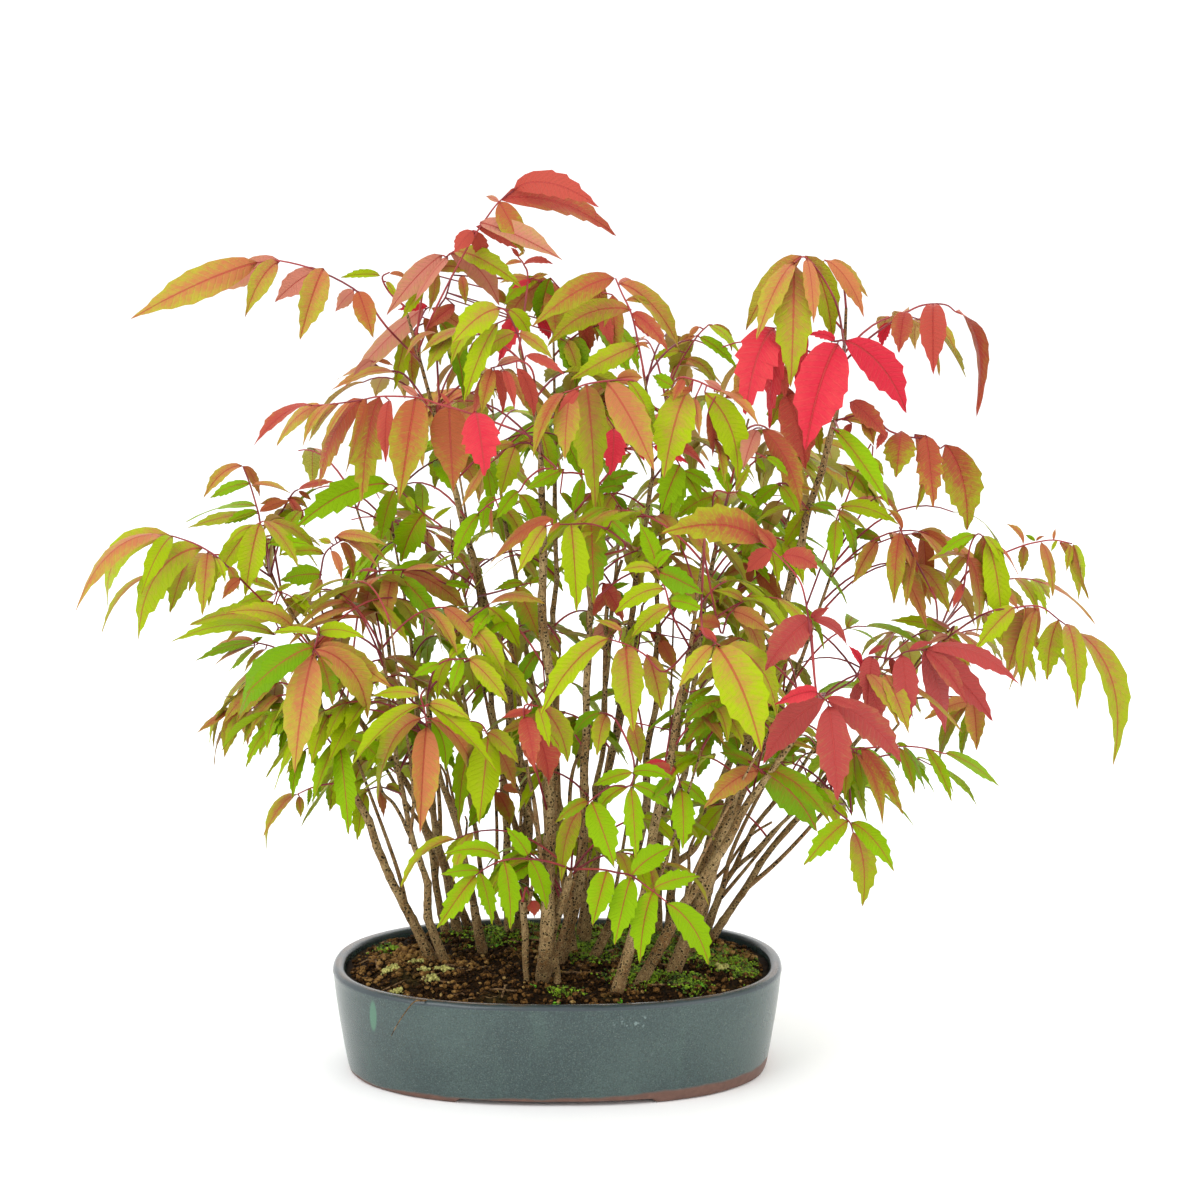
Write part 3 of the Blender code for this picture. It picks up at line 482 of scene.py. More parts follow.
def tufts(name, patches, blade, width, rng):
    """Three-sided blades: a triangle on the soil drawn up to a leaning tip, in knots of a dozen."""
    base, offset = clusters(patches, 0.0011, rng)
    lean = offset * 0.9 + rng.normal(0, blade * 0.22, base.shape)
    tip = np.column_stack([base + lean, rng.uniform(0.6, 1.2, len(base)) * blade])
    wide = rng.uniform(0.7, 1.3, len(base)) * width
    ground = soil_height(POT_X + base[:, 0], POT_Y + base[:, 1])
    angle = rng.uniform(0, 6.3, len(base))[:, None] + np.arange(3) * 2 * math.pi / 3
    foot = np.stack([base[:, :1] + wide[:, None] * np.cos(angle), base[:, 1:] + wide[:, None] * np.sin(angle),
                     np.repeat(ground[:, None] - 0.0004, 3, 1)], -1)
    tip[:, 2] += ground
    points = np.concatenate([foot, tip[:, None]], 1) + (POT_X, POT_Y, 0)
    faces = np.array([(0, 2, 1), (0, 1, 3), (1, 2, 3), (2, 0, 3)])[None] + 4 * np.arange(len(base))[:, None, None]
    return put_mesh(name, points.reshape(-1, 3), faces.reshape(-1, 3))


def cushions(name, patches, near, sizes, flat, rng):
    """Rounded grains in knots, for moss, lichen and the leaves of seedlings."""
    place, _ = clusters(patches, near, rng)
    size = rng.uniform(*sizes, len(place))
    return lumps(name, POT_X + place[:, 0], POT_Y + place[:, 1], size, rng, sink=-0.6, flat=flat)


def moss_material(name, dark, light, scale):
    material, tree, shader, place = new_material(name, 0.8)
    patchy = calc(tree, "ADD", noise(tree, place, scale, 3.0), noise(tree, place, 900.0, 2.0))
    colour = blend(tree, rise(tree, patchy, 0.75, 1.25), dark, light)
    tree.links.new(colour, shader.inputs["Base Color"])
    emboss(tree, shader, noise(tree, place, 1500.0, 2.0), 0.3, 0.0003)
    return material


green_moss = moss_material("bright_moss", tone(32, 56, 4), tone(142, 180, 24), 110.0)
dress(cushions("moss_cushions", MOSS, 0.0030, (0.0009, 0.0020), 0.8, rng), green_moss)
dress(tufts("moss_tips", MOSS, 0.0026, 0.00035, rng), green_moss)
yellow = moss_material("yellow_lichen", tone(112, 110, 46), tone(196, 192, 112), 200.0)
dress(cushions("lichen_crust", LICHEN, 0.0017, (0.0014, 0.0030), 0.9, rng), yellow)
fresh = moss_material("seedling_leaf", tone(70, 140, 10), tone(128, 200, 30), 200.0)
dress(cushions("seedling_leaves", SEEDLINGS, 0.0010, (0.0012, 0.0024), 0.35, rng), fresh)

place, _ = clusters(GRAINS, 0.0070, rng)
grains = lumps("tan_grains", POT_X + place[:, 0], POT_Y + place[:, 1], rng.uniform(0.0022, 0.0050, len(place)), rng)
dress(grains, soil_material("tan_grain", tone(84, 58, 28), tone(150, 116, 68), 500.0))

# %% Litter
def sweep(path, radius, columns, close=True):
    """A round skin along a path. Each ring stands square to the path, on two directions taken from
    the plane that the path bends in; radius is one number a ring, or one for every point."""
    path = np.asarray(path, float)
    ahead = unit(np.gradient(path, axis=0))
    chord = path[-1] - path[0]
    flank = np.cross(chord, path[len(path) // 2] - path[0])
    if np.linalg.norm(flank) < 0.02 * np.dot(chord, chord):
        flank = np.cross(chord, np.eye(3)[np.argmin(np.abs(chord))])
    one = unit(np.cross(ahead, np.cross(flank, ahead)))
    two = np.cross(ahead, one)
    angle = np.linspace(0, 2 * math.pi, columns, endpoint=False)[None, :, None]
    radius = np.asarray(radius, float)
    radius = radius[:, None, None] if radius.ndim == 1 else radius[..., None]
    rings = path[:, None] + radius * (one[:, None] * np.cos(angle) + two[:, None] * np.sin(angle))
    return rings


def tube_arrays(tubes, columns):
    """Points, quads and end triangles of many round skins, each closed at both ends by a fan."""
    points, quads, caps, start = [], [], [], 0
    for path, radius in tubes:
        rings = sweep(path, radius, columns)
        n = rings.shape[0] * columns
        points += [rings.reshape(-1, 3), path[:1], path[-1:]]
        quads.append(start + grid_faces(len(rings), columns))
        caps.append(start + fan_faces(0, columns, n, -1))
        caps.append(start + fan_faces(n - columns, columns, n + 1))
        start += n + 2
    return np.vstack(points), np.concatenate(quads), np.concatenate(caps)


def smooth_path(points, count):
    """A Catmull-Rom curve through a few points, as `count` evenly numbered points."""
    p = np.asarray(points, float)
    p = np.vstack([2 * p[0] - p[1], p, 2 * p[-1] - p[-2]])
    place = np.linspace(0, len(p) - 3, count)
    i = np.minimum(place.astype(int), len(p) - 4)
    t = (place - i)[:, None]
    a, b, c, d = p[i], p[i + 1], p[i + 2], p[i + 3]
    square = (2 * a - 5 * b + 4 * c - d) * t ** 2
    cube = (3 * b - a - 3 * c + d) * t ** 3
    return 0.5 * (2 * b + (c - a) * t + square + cube)


def bits_of_twig(rng, amount):
    """Short bent sticks that lie on the soil, each 8 to 24 mm long."""
    sticks = []
    for px, py in zip(*scatter(rng, amount, 0.9)):
        turn = rng.uniform(0, math.pi)
        reach = np.linspace(-0.5, 0.5, 5) * rng.uniform(0.008, 0.024)
        line = np.column_stack([px + reach * math.cos(turn), py + reach * math.sin(turn)])
        line += rng.normal(0, 0.0004, line.shape)
        thick = rng.uniform(0.0003, 0.0008)
        line = np.column_stack([line, soil_height(line[:, 0], line[:, 1]) + thick + rng.uniform(0, 0.001)])
        sticks.append((line, np.full(5, thick)))
    return sticks


front = POT_Y - POT_DEPTH / 2
root_line = smooth_path([(POT_X - 0.066, front + 0.016, 0.0555), (POT_X - 0.070, front + 0.009, POT_HEIGHT + 0.0004),
                         (POT_X - 0.074, front + 0.0055, POT_HEIGHT + 0.0008), (POT_X - 0.079, front + 0.0035, 0.052),
                         (POT_X - 0.083, front + 0.0045, 0.0455), (POT_X - 0.086, front + 0.0052, 0.0395)], 22)
fallen = np.array([(-35.1, -58.2), (-30.2, -59.5), (-25.2, -60.7), (-20.1, -62)]) * MM + (POT_X, POT_Y)
fallen = np.column_stack([fallen, soil_height(fallen[:, 0], fallen[:, 1]) + 0.0016])
loose = [(root_line, np.linspace(0.0005, 0.00022, 22)), (fallen, np.full(4, 0.0006))]
points, quads, caps = tube_arrays(bits_of_twig(rng, 60) + loose, 6)
litter = put_mesh("twigs_on_soil", points, quads, caps)
dress(litter, soil_material("dry_twig", tone(60, 42, 28), tone(140, 112, 80), 350.0))

# %% [markdown]
# ## The stems
#
# A stem is given by four facts: where its foot stands, where its knee and its top are, and how thick
# it is at the soil. A smooth curve goes through the three places. Where two stems would touch they
# are nudged apart, front to back, which the eye hardly sees from the front. The solid model was
# grown by the same rule from the same table, so the fine stems lie where its stems do.

# %% Table of stems
# Stem: foot (x, y), knee and top (x, y, z), all in mm from the pot's middle, and girth at the foot
STEMS = {
    "stem_01": ((-68.7, -1.2), (-104, -5, 135), (-125, -20, 200), 6.2),
    "stem_02": ((-61.4, -5.2), (-79, -20, 126), (-86, -30, 184), 5.2),
    "stem_03": ((-57, 54.7), (-72, 35, 124), (-120, 30, 202), 5.8),
    "stem_04": ((-51, 68), (-67, 60, 111), (-85, 55, 248), 4.4),
    "stem_05": ((-41.3, 15), (-50, 4, 107), (-66, -30, 184), 5.2),
    "stem_06": ((-34, 70), (-47, 75, 102), (-58, 80, 243), 3.4),
    "stem_07": ((-28, 50), (-31, 55, 145), (-43, 30, 252), 5.0),
    "stem_08": ((-22.5, 58.9), (-20, 50, 154), (-65, 15, 353), 6.6),
    "stem_09": ((-15.6, -40.5), (-16, -40, 78), (-18, -41, 100), 4.2),
    "stem_10": ((-7.3, -37.6), (-4, -35, 127), (-8, -20, 338), 7.8),
    "stem_11": ((1.8, -2), (13, -20, 123), (18, -30, 257), 7.0),
    "stem_12": ((8.3, 14), (-1, 25, 148), (-1, 25, 335), 5.0),
    "stem_13": ((14.4, 37.8), (27, 40, 143), (51, 0, 322), 5.6),
    "stem_14": ((32.6, -57.7), (47, -57, 113), (70, -65, 242), 6.4),
    "stem_15": ((45.3, -42.5), (78, -45, 116), (128, -55, 196), 6.8),
    "stem_16": ((62.2, -27), (90, -18, 134), (148, -5, 354), 7.6),
    "stem_17": ((73, 17), (88, 10, 109), (132, 5, 223), 6.0),
    "stem_18": ((80.2, 48.6), (102, 50, 107), (160, 20, 195), 3.6),
    "stem_19": ((83.5, 55), (103, 38, 102), (144, 15, 149), 3.8),
    "stem_20": ((20, 5.9), (48, 30, 128), (57, 30, 318), 5.2),
    "stem_21": ((56, 58), (60, 62, 134), (91, 60, 292), 5.5),
    "stem_22": ((62, 38), (66, 30, 132), (80, 20, 248), 5.5),
    "stem_23": ((12.1, 50.4), (22, 70, 130), (33, 98, 264), 4.4),
    "stem_24": ((-2, 66), (-6, 85, 134), (-31, 108, 285), 5.5),
    "stem_25": ((0.5, -39.6), (-3, -37, 80), (7, -45, 114), 5.8),
    "stem_26": ((72, 57), (92, 85, 127), (123, 110, 256), 6.0),
    "stem_27": ((-63.8, 61.1), (-77, 70, 121), (-105, 112, 255), 4.6),
    "stem_28": ((86.2, 45.5), (114, 55, 97), (186, 70, 188), 4.6),
}

# %% Stem paths
STEM_RINGS = 6
STEM_SPACING = 0.0014
TIP_GIRTH = 0.42
FLARE, FLARE_HEIGHT = 0.12, 0.012


def stem_paths():
    """Every stem's centre line and radii, nudged apart in y where two would touch."""
    shift = np.array([POT_X, POT_Y, 0])
    paths = {}
    for name, (foot, knee, top, girth) in STEMS.items():
        foot = np.array([foot[0] * MM, foot[1] * MM, SOIL_TOP + GAP])
        path = smooth_path([foot, np.array(knee) * MM, np.array(top) * MM], STEM_RINGS) + shift
        up = np.linspace(0, 1, STEM_RINGS)
        paths[name] = [path, girth / 2 * MM * (1 - (1 - TIP_GIRTH) * up)]
    names = list(paths)
    for _ in range(60):
        moved = False
        for i, one in enumerate(names):
            for other in names[i + 1:]:
                moved |= nudge_apart(paths[one], paths[other])
        if not moved:
            break
    return paths


def nudge_apart(one, other):
    """Move the nearest points of two stems apart in y, feet excepted; true if they moved."""
    fine = np.linspace(0, STEM_RINGS - 1, 6 * STEM_RINGS)
    rows = np.arange(STEM_RINGS)
    sample = []
    for path, radius in (one, other):
        line = np.stack([np.interp(fine, rows, path[:, k]) for k in range(3)], 1)
        sample.append((line, np.interp(fine, rows, radius)))
    (p, rp), (q, rq) = sample
    clear = np.linalg.norm(p[:, None] - q[None], axis=2) - rp[:, None] - rq[None] - STEM_SPACING
    i, j = np.unravel_index(np.argmin(clear), clear.shape)
    if clear[i, j] >= 0:
        return False
    side = 1.0 if p[i, 1] >= q[j, 1] else -1.0
    for (path, _), place, sign in ((one, fine[i], side), (other, fine[j], -side)):
        weight = np.exp(-((rows - place) / 1.6) ** 2) * (rows > 0)
        path[:, 1] += sign * weight * (0.5 * -clear[i, j] + 0.0001)
    return True


paths = stem_paths()
print(len(paths), "stems, tallest top", round(max(path[-1, 2] for path, _ in paths.values()), 3), "m")

# %% [markdown]
# ## Bark
#
# The bark of so young a stem is thin and brown-grey, dotted with corky pores and ringed where last
# year's leaves fell. The relief is worked out as a share of the radius for every point of the skin:
# low ridges that run up the stem, a swelling at each leaf scar, and a warty roughness. A root flare
# with a few toes widens the foot. The fine pores are left to the material's bump.

# %% Stem surfaces
STEM_ROWS = 230
STEM_COLUMNS = 20
NODE_STEP = (0.014, 0.034)
NODE_KINK = 0.0011
STUMPS, STUMP_WAIST, STUMP_SWELL = ("stem_09", "stem_25"), 0.62, 1.8


def stem_skin(path, radius, seed):
    """Rings of a stem: radius * (1 + flare + toes + ridges + scars + warts) about a line that turns a
    little at every node, where last year's leaves stood, and wanders between them."""
    rng = np.random.default_rng(seed)
    line = smooth_path(path, STEM_ROWS)
    line = np.vstack([line[0] + (line[0] - line[1]) / np.linalg.norm(line[0] - line[1]) * 0.004, line])
    along = np.concatenate([[0], np.cumsum(np.linalg.norm(np.diff(line, axis=0), axis=1))])
    total = along[-1]
    nodes = np.cumsum(rng.uniform(*NODE_STEP, 40))
    ease = np.sin(math.pi * np.clip(along / total, 0, 1))[:, None]
    sway = np.stack([ripples(along * 90, along * 0, seed + k, reach=(0.5, 1.6)) for k in (1, 2, 3)], -1)
    kink = np.stack([np.interp(along, nodes, rng.normal(0, NODE_KINK, 40)) for _ in range(3)], -1)
    line = line + ease * (0.0008 * sway + kink) * (1, 1, 0.2)
    thick = np.interp(along, np.linspace(0, total, len(radius)), radius)
    angle = np.linspace(0, 2 * math.pi, STEM_COLUMNS, endpoint=False)[None]
    up = along[:, None]
    rise_up = np.maximum(up - 0.004, 0)
    flare = FLARE * np.exp(-rise_up / FLARE_HEIGHT)
    toes = 0.07 * np.exp(-rise_up / (0.7 * FLARE_HEIGHT)) * np.cos(angle * rng.integers(3, 5) + rng.uniform(0, 6.3))
    u, v = 2.2 * np.cos(angle), 2.2 * np.sin(angle)
    ridges = 0.035 * ripples(u + up * 14, v - up * 9, seed + 11, reach=(1.0, 3.2))
    uneven = 0.045 * ripples(up * 110, up * 0, seed + 13, reach=(0.5, 2.0))
    warts = 0.030 * ripples(u * 1.6 + up * 620, v * 1.6 + up * 410, seed + 12, reach=(0.7, 1.8))
    scars = 0
    for place in nodes[nodes < total]:
        swell = np.exp(-((up - place) / 0.0020) ** 2)
        scars = scars + swell * (0.07 + 0.16 * np.cos(angle - rng.uniform(0, 6.3)).clip(0) ** 2)
    return line, thick[:, None] * (1 + flare + toes + ridges + uneven + warts + scars)


def bark_material(name, brown, grey, dark, foot_tint):
    """Two browns in broad clouds, fine fibres, and dark pores with a pale rim in rows up the stem."""
    material, tree, shader, place = new_material(name, 0.85)
    shader.inputs["Specular IOR Level"].default_value = 0.2
    z = wire(tree, "SeparateXYZ", place).node.outputs[2]
    long_way = wire(tree, "Mapping", place, None, None, (1.0, 1.0, 0.35))
    broad = noise(tree, place, 55.0, 4.0)
    fibre = noise(tree, long_way, 900.0, 4.0)
    colour = blend(tree, rise(tree, broad, 0.38, 0.62), brown, grey)
    colour = blend(tree, calc(tree, "MULTIPLY", rise(tree, fibre, 0.42, 0.60), 0.50), colour, dark)
    colour = blend(tree, calc(tree, "MULTIPLY", rise(tree, z, 0.112, 0.060), 0.55), colour, foot_tint)
    height = fibre
    for scale, share in ((420.0, 0.95), (800.0, 0.88)):
        pore = wire(tree, "TexVoronoi", place, None, scale).node.outputs["Distance"]
        rim = calc(tree, "MULTIPLY", rise(tree, pore, 0.52, 0.40), 0.35)
        colour = blend(tree, rim, colour, tone(184, 158, 108))
        spot = rise(tree, calc(tree, "MULTIPLY_ADD", broad, 0.24, pore), 0.46, 0.38)
        colour = blend(tree, calc(tree, "MULTIPLY", spot, share), colour, tone(32, 21, 9))
        height = calc(tree, "MULTIPLY_ADD", spot, 0.9, height)
    tree.links.new(colour, shader.inputs["Base Color"])
    emboss(tree, shader, height, 0.8, 0.0007)
    return material


bark = bark_material("bark", tone(130, 99, 62), tone(168, 143, 102), tone(78, 55, 32), tone(90, 60, 32))
for index, (name, (path, radius)) in enumerate(paths.items()):
    if name in STUMPS:
        radius = radius * np.linspace(STUMP_WAIST, STUMP_SWELL, len(radius))
    line, thick = stem_skin(path, radius, 100 + index)
    points, quads, caps = tube_arrays([(line, thick)], STEM_COLUMNS)
    stem = put_mesh("bark_of_" + name, points, quads, caps)
    dress(stem, bark, [name])

# %% [markdown]
# ## How the leaves are dealt out
#
# Each stem ends in a shoot, and each shoot carries a handful of compound leaves. The leaves that
# shape the crown's outline are placed one by one, in the table below: how far up the shoot, how far
# the stalk reaches, how many pairs of leaflets, how long, how limp, and in which autumn tint. The rest
# are dealt out by a seeded random rule that turns them outwards. The solid model has the same rule
# with fewer leaflets. Here it runs on to more leaves, within the same reach.

# %% Table of foliage
# Foliage mass: its stem, its shoot's run in mm, its main colour, and its leading leaves. A leading
# leaf is (how far up the shoot, run of its stalk in mm, pairs of leaflets, leaflet length in mm, hang
# from 0, level, to 1, limp, tint).
FOLIAGE = {
    "foliage_08": ("stem_08", (-15, -15, 61), "copper", ((0.20, (-40, 25, 15), 3, 34, 0.50, "copper"),)),
    "foliage_10": ("stem_10", (-11, -5, 56), "olive", ()),
    "foliage_16": ("stem_16", (5, -5, 60), "copper", ()),
    "foliage_03": ("stem_03", (-39, -20, 74), "olive", ((0.90, (15, 30, 35), 3, 30, 0.60, "copper"),)),
    "foliage_28": ("stem_28", (32, -10, 49), "olive", ()),
    "foliage_15": ("stem_15", (12, -15, 23), "olive", ()),
    "foliage_05": ("stem_05", (-2, -20, 34), "lime", ()),
    "foliage_01": ("stem_01", (-2, -15, 41), "olive", ((0.20, (-45, 20, -10), 3, 32, 0.70, "copper"),)),
    "foliage_13": ("stem_13", (-5, 0, 59), "olive", ((0.85, (15, 40, 25), 3, 44, 0.70, "copper"),)),
    "foliage_12": ("stem_12", (-1, 0, 70), "green", ()),
    "foliage_14": ("stem_14", (7, -10, 59), "lime", ()),
    "foliage_25": ("stem_25", (1, -1, 5), "lime", ()),
    "foliage_17": ("stem_17", (22, -5, 69), "copper", ((0.80, (65, 20, 25), 3, 38, 0.80, "olive"),)),
    "foliage_18": ("stem_18", (28, -20, 40), "olive", ()),
    "foliage_19": ("stem_19", (15, -25, -8), "green", ()),
    "foliage_02": ("stem_02", (-6, -10, 59), "copper", ((0.70, (-25, 25, 35), 3, 40, 0.60, "copper"),)),
    "foliage_04": ("stem_04", (-10, -5, 57), "green", ((0.60, (-8, 42, 14), 3, 36, 0.60, "copper"),)),
    "foliage_07": ("stem_07", (-10, -15, 74), "green", ()),
    "foliage_11": ("stem_11", (-8, -20, 54), "olive", ()),
    "foliage_20": ("stem_20", (2, -5, 49), "copper", ((0.90, (-12, 34, 30), 3, 28, 0.50, "copper"),)),
    "foliage_21": ("stem_21", (14, -5, 56), "olive", ((0.90, (25, 35, -20), 3, 44, 0.70, "olive"),)),
    "foliage_22": ("stem_22", (9, -5, 50), "green", ()),
    "foliage_06": ("stem_06", (-3, 10, 44), "green", ()),
    "foliage_23": ("stem_23", (-5, 15, 72), "green", (
        (0.90, (-30, 20, 10), 3, 48, 0.60, "green"), (0.70, (30, 45, 25), 3, 46, 0.70, "bronze"))),
    "foliage_24": ("stem_24", (-7, 10, 67), "copper", (
        (0.90, (-30, 15, 10), 3, 46, 0.70, "copper"), (0.70, (15, 40, 10), 3, 46, 0.70, "green"))),
    "foliage_26": ("stem_26", (14, 10, 50), "olive", (
        (0.90, (30, 20, 10), 3, 46, 0.60, "olive"), (0.60, (-15, 45, -10), 3, 46, 0.70, "green"))),
    "foliage_27": ("stem_27", (-17, 10, 51), "olive", (
        (0.90, (-30, 15, 20), 3, 46, 0.60, "olive"), (0.70, (10, 45, 0), 3, 46, 0.70, "green"))),
}

# %% Growth rule
LEAVES_A_MASS = 4
BEHIND = (-20, 200)
SHOOT_STRAIGHT, SHOOT_BOW, SHOOT_TAPER = 0.0030, 0.12, 0.62
STALK_ARCH, STALK_ROWS, STALK_THICK = 0.19, 10, 0.00066
SIDE_LEAVES = 2
STALK_BARE, LEAF_AHEAD, LEAF_LOUVRE = 0.34, 0.45, 0.45
END_LEAFLET = 1.15
ANY_ARCH = -1.0
NEAR_TINTS = {
    "plum": ("plum", "plum", "rose", "bronze"), "rose": ("rose", "rose", "bronze", "plum"),
    "scarlet": ("scarlet", "scarlet", "rose"), "bronze": ("bronze", "bronze", "rose", "copper"),
    "copper": ("copper", "copper", "olive", "bronze"), "olive": ("olive", "olive", "lime", "copper"),
    "lime": ("lime", "lime", "olive", "green"), "green": ("green", "lime", "olive", "lime"),
    "deep": ("deep", "green", "olive"), "mottled": ("mottled", "mottled", "bronze"),
}


def leaf_plans(name):
    """A mass's shoot and its leaves: the leading ones, then seeded ones that fill the crown's depth."""
    stem, run, colour, leading = FOLIAGE[name]
    path, radius = paths[stem]
    along = unit(path[-1] - path[-2])
    start = path[-1] + along * GAP
    end = start + np.array(run) * MM
    straight = start + along * SHOOT_STRAIGHT
    bend = (start + end) / 2 + along * SHOOT_BOW * np.linalg.norm(end - start)
    shoot = np.vstack([start, smooth_path([straight, bend, end], 3)])
    rng = random.Random(SEED + int(stem[-2:]))
    plans = [(t, np.array(reach) * MM, pairs, size * MM, hang, tint)
             for t, reach, pairs, size, hang, tint in leading]
    while len(plans) < LEAVES_A_MASS:
        t = rng.uniform(0.15, 0.95)
        bearing = math.radians(rng.uniform(*BEHIND))
        length = rng.uniform(38, 66) * MM
        lift = rng.uniform(0.0, 0.5)
        reach = np.array([math.cos(bearing), math.sin(bearing), lift]) * length
        pairs = rng.choice((2, 3))
        size = rng.uniform(36, 50) * MM
        plans.append((t, reach, pairs, size * 0.85, rng.uniform(0.4, 0.8), colour))
    return shoot, radius[-1], plans


def stalk_path(base, reach, count):
    """A leaf's stalk: from the shoot along its reach, arching up on the way by 4t(1 - t)."""
    t = np.linspace(0, 1, count)[:, None]
    lift = np.array([0, 0, STALK_ARCH * np.linalg.norm(reach)])
    return base + reach * t + lift * 4 * t * (1 - t)


def leaflet_poses(stalk, pairs, size, hang):
    """Base, direction, upper side and length of each leaflet: side pairs, then the end one. Its width
    of 0 stands for that of its tint, its freedom of 1 lets it wander from this rule, and how far it
    arches is left open."""
    up = np.array([0, 0, 1.0])
    rows = np.arange(len(stalk))
    poses = []
    for pair in range(pairs):
        share = (pair + 1) / (pairs + 0.6)
        place = (STALK_BARE + (1 - STALK_BARE) * share) * (len(stalk) - 1)
        base = np.array([np.interp(place, rows, stalk[:, k]) for k in range(3)])
        low = min(int(place), len(stalk) - 2)
        ahead = unit(stalk[low + 1] - stalk[low])
        across = unit(np.cross(ahead, up))
        length = size * (0.78 + 0.22 * math.sin(math.pi * share))
        for side in (-1, 1):
            heading = across * side * (1 - 0.45 * hang) + ahead * LEAF_AHEAD - up * (0.05 + 0.90 * hang)
            face = up * (1.1 - hang) + across * side * (0.25 + hang) + ahead * LEAF_LOUVRE
            poses.append((base, unit(heading), face, length, 0.0, 1.0, ANY_ARCH))
    ahead = unit(stalk[-1] - stalk[-2])
    heading = unit(ahead - up * (0.1 + 0.7 * hang))
    poses.append((stalk[-1], heading, up + ahead * hang, size * END_LEAFLET, 0.0, 1.0, ANY_ARCH))
    return poses


# %% [markdown]
# ## The leaves seen from the front
#
# The sprays that face the camera are laid where they stand on the real plant. Every leaf is a red
# stalk and its leaflets, measured on an upright plane through the pot's middle, and each point is then
# moved along its line of sight to the leaf's own depth. So the picture from the front stays as it was
# measured, and from any other side the crown has its depth. A stalk starts from a shoot, or from a
# stem, at the share of its length that the table gives.

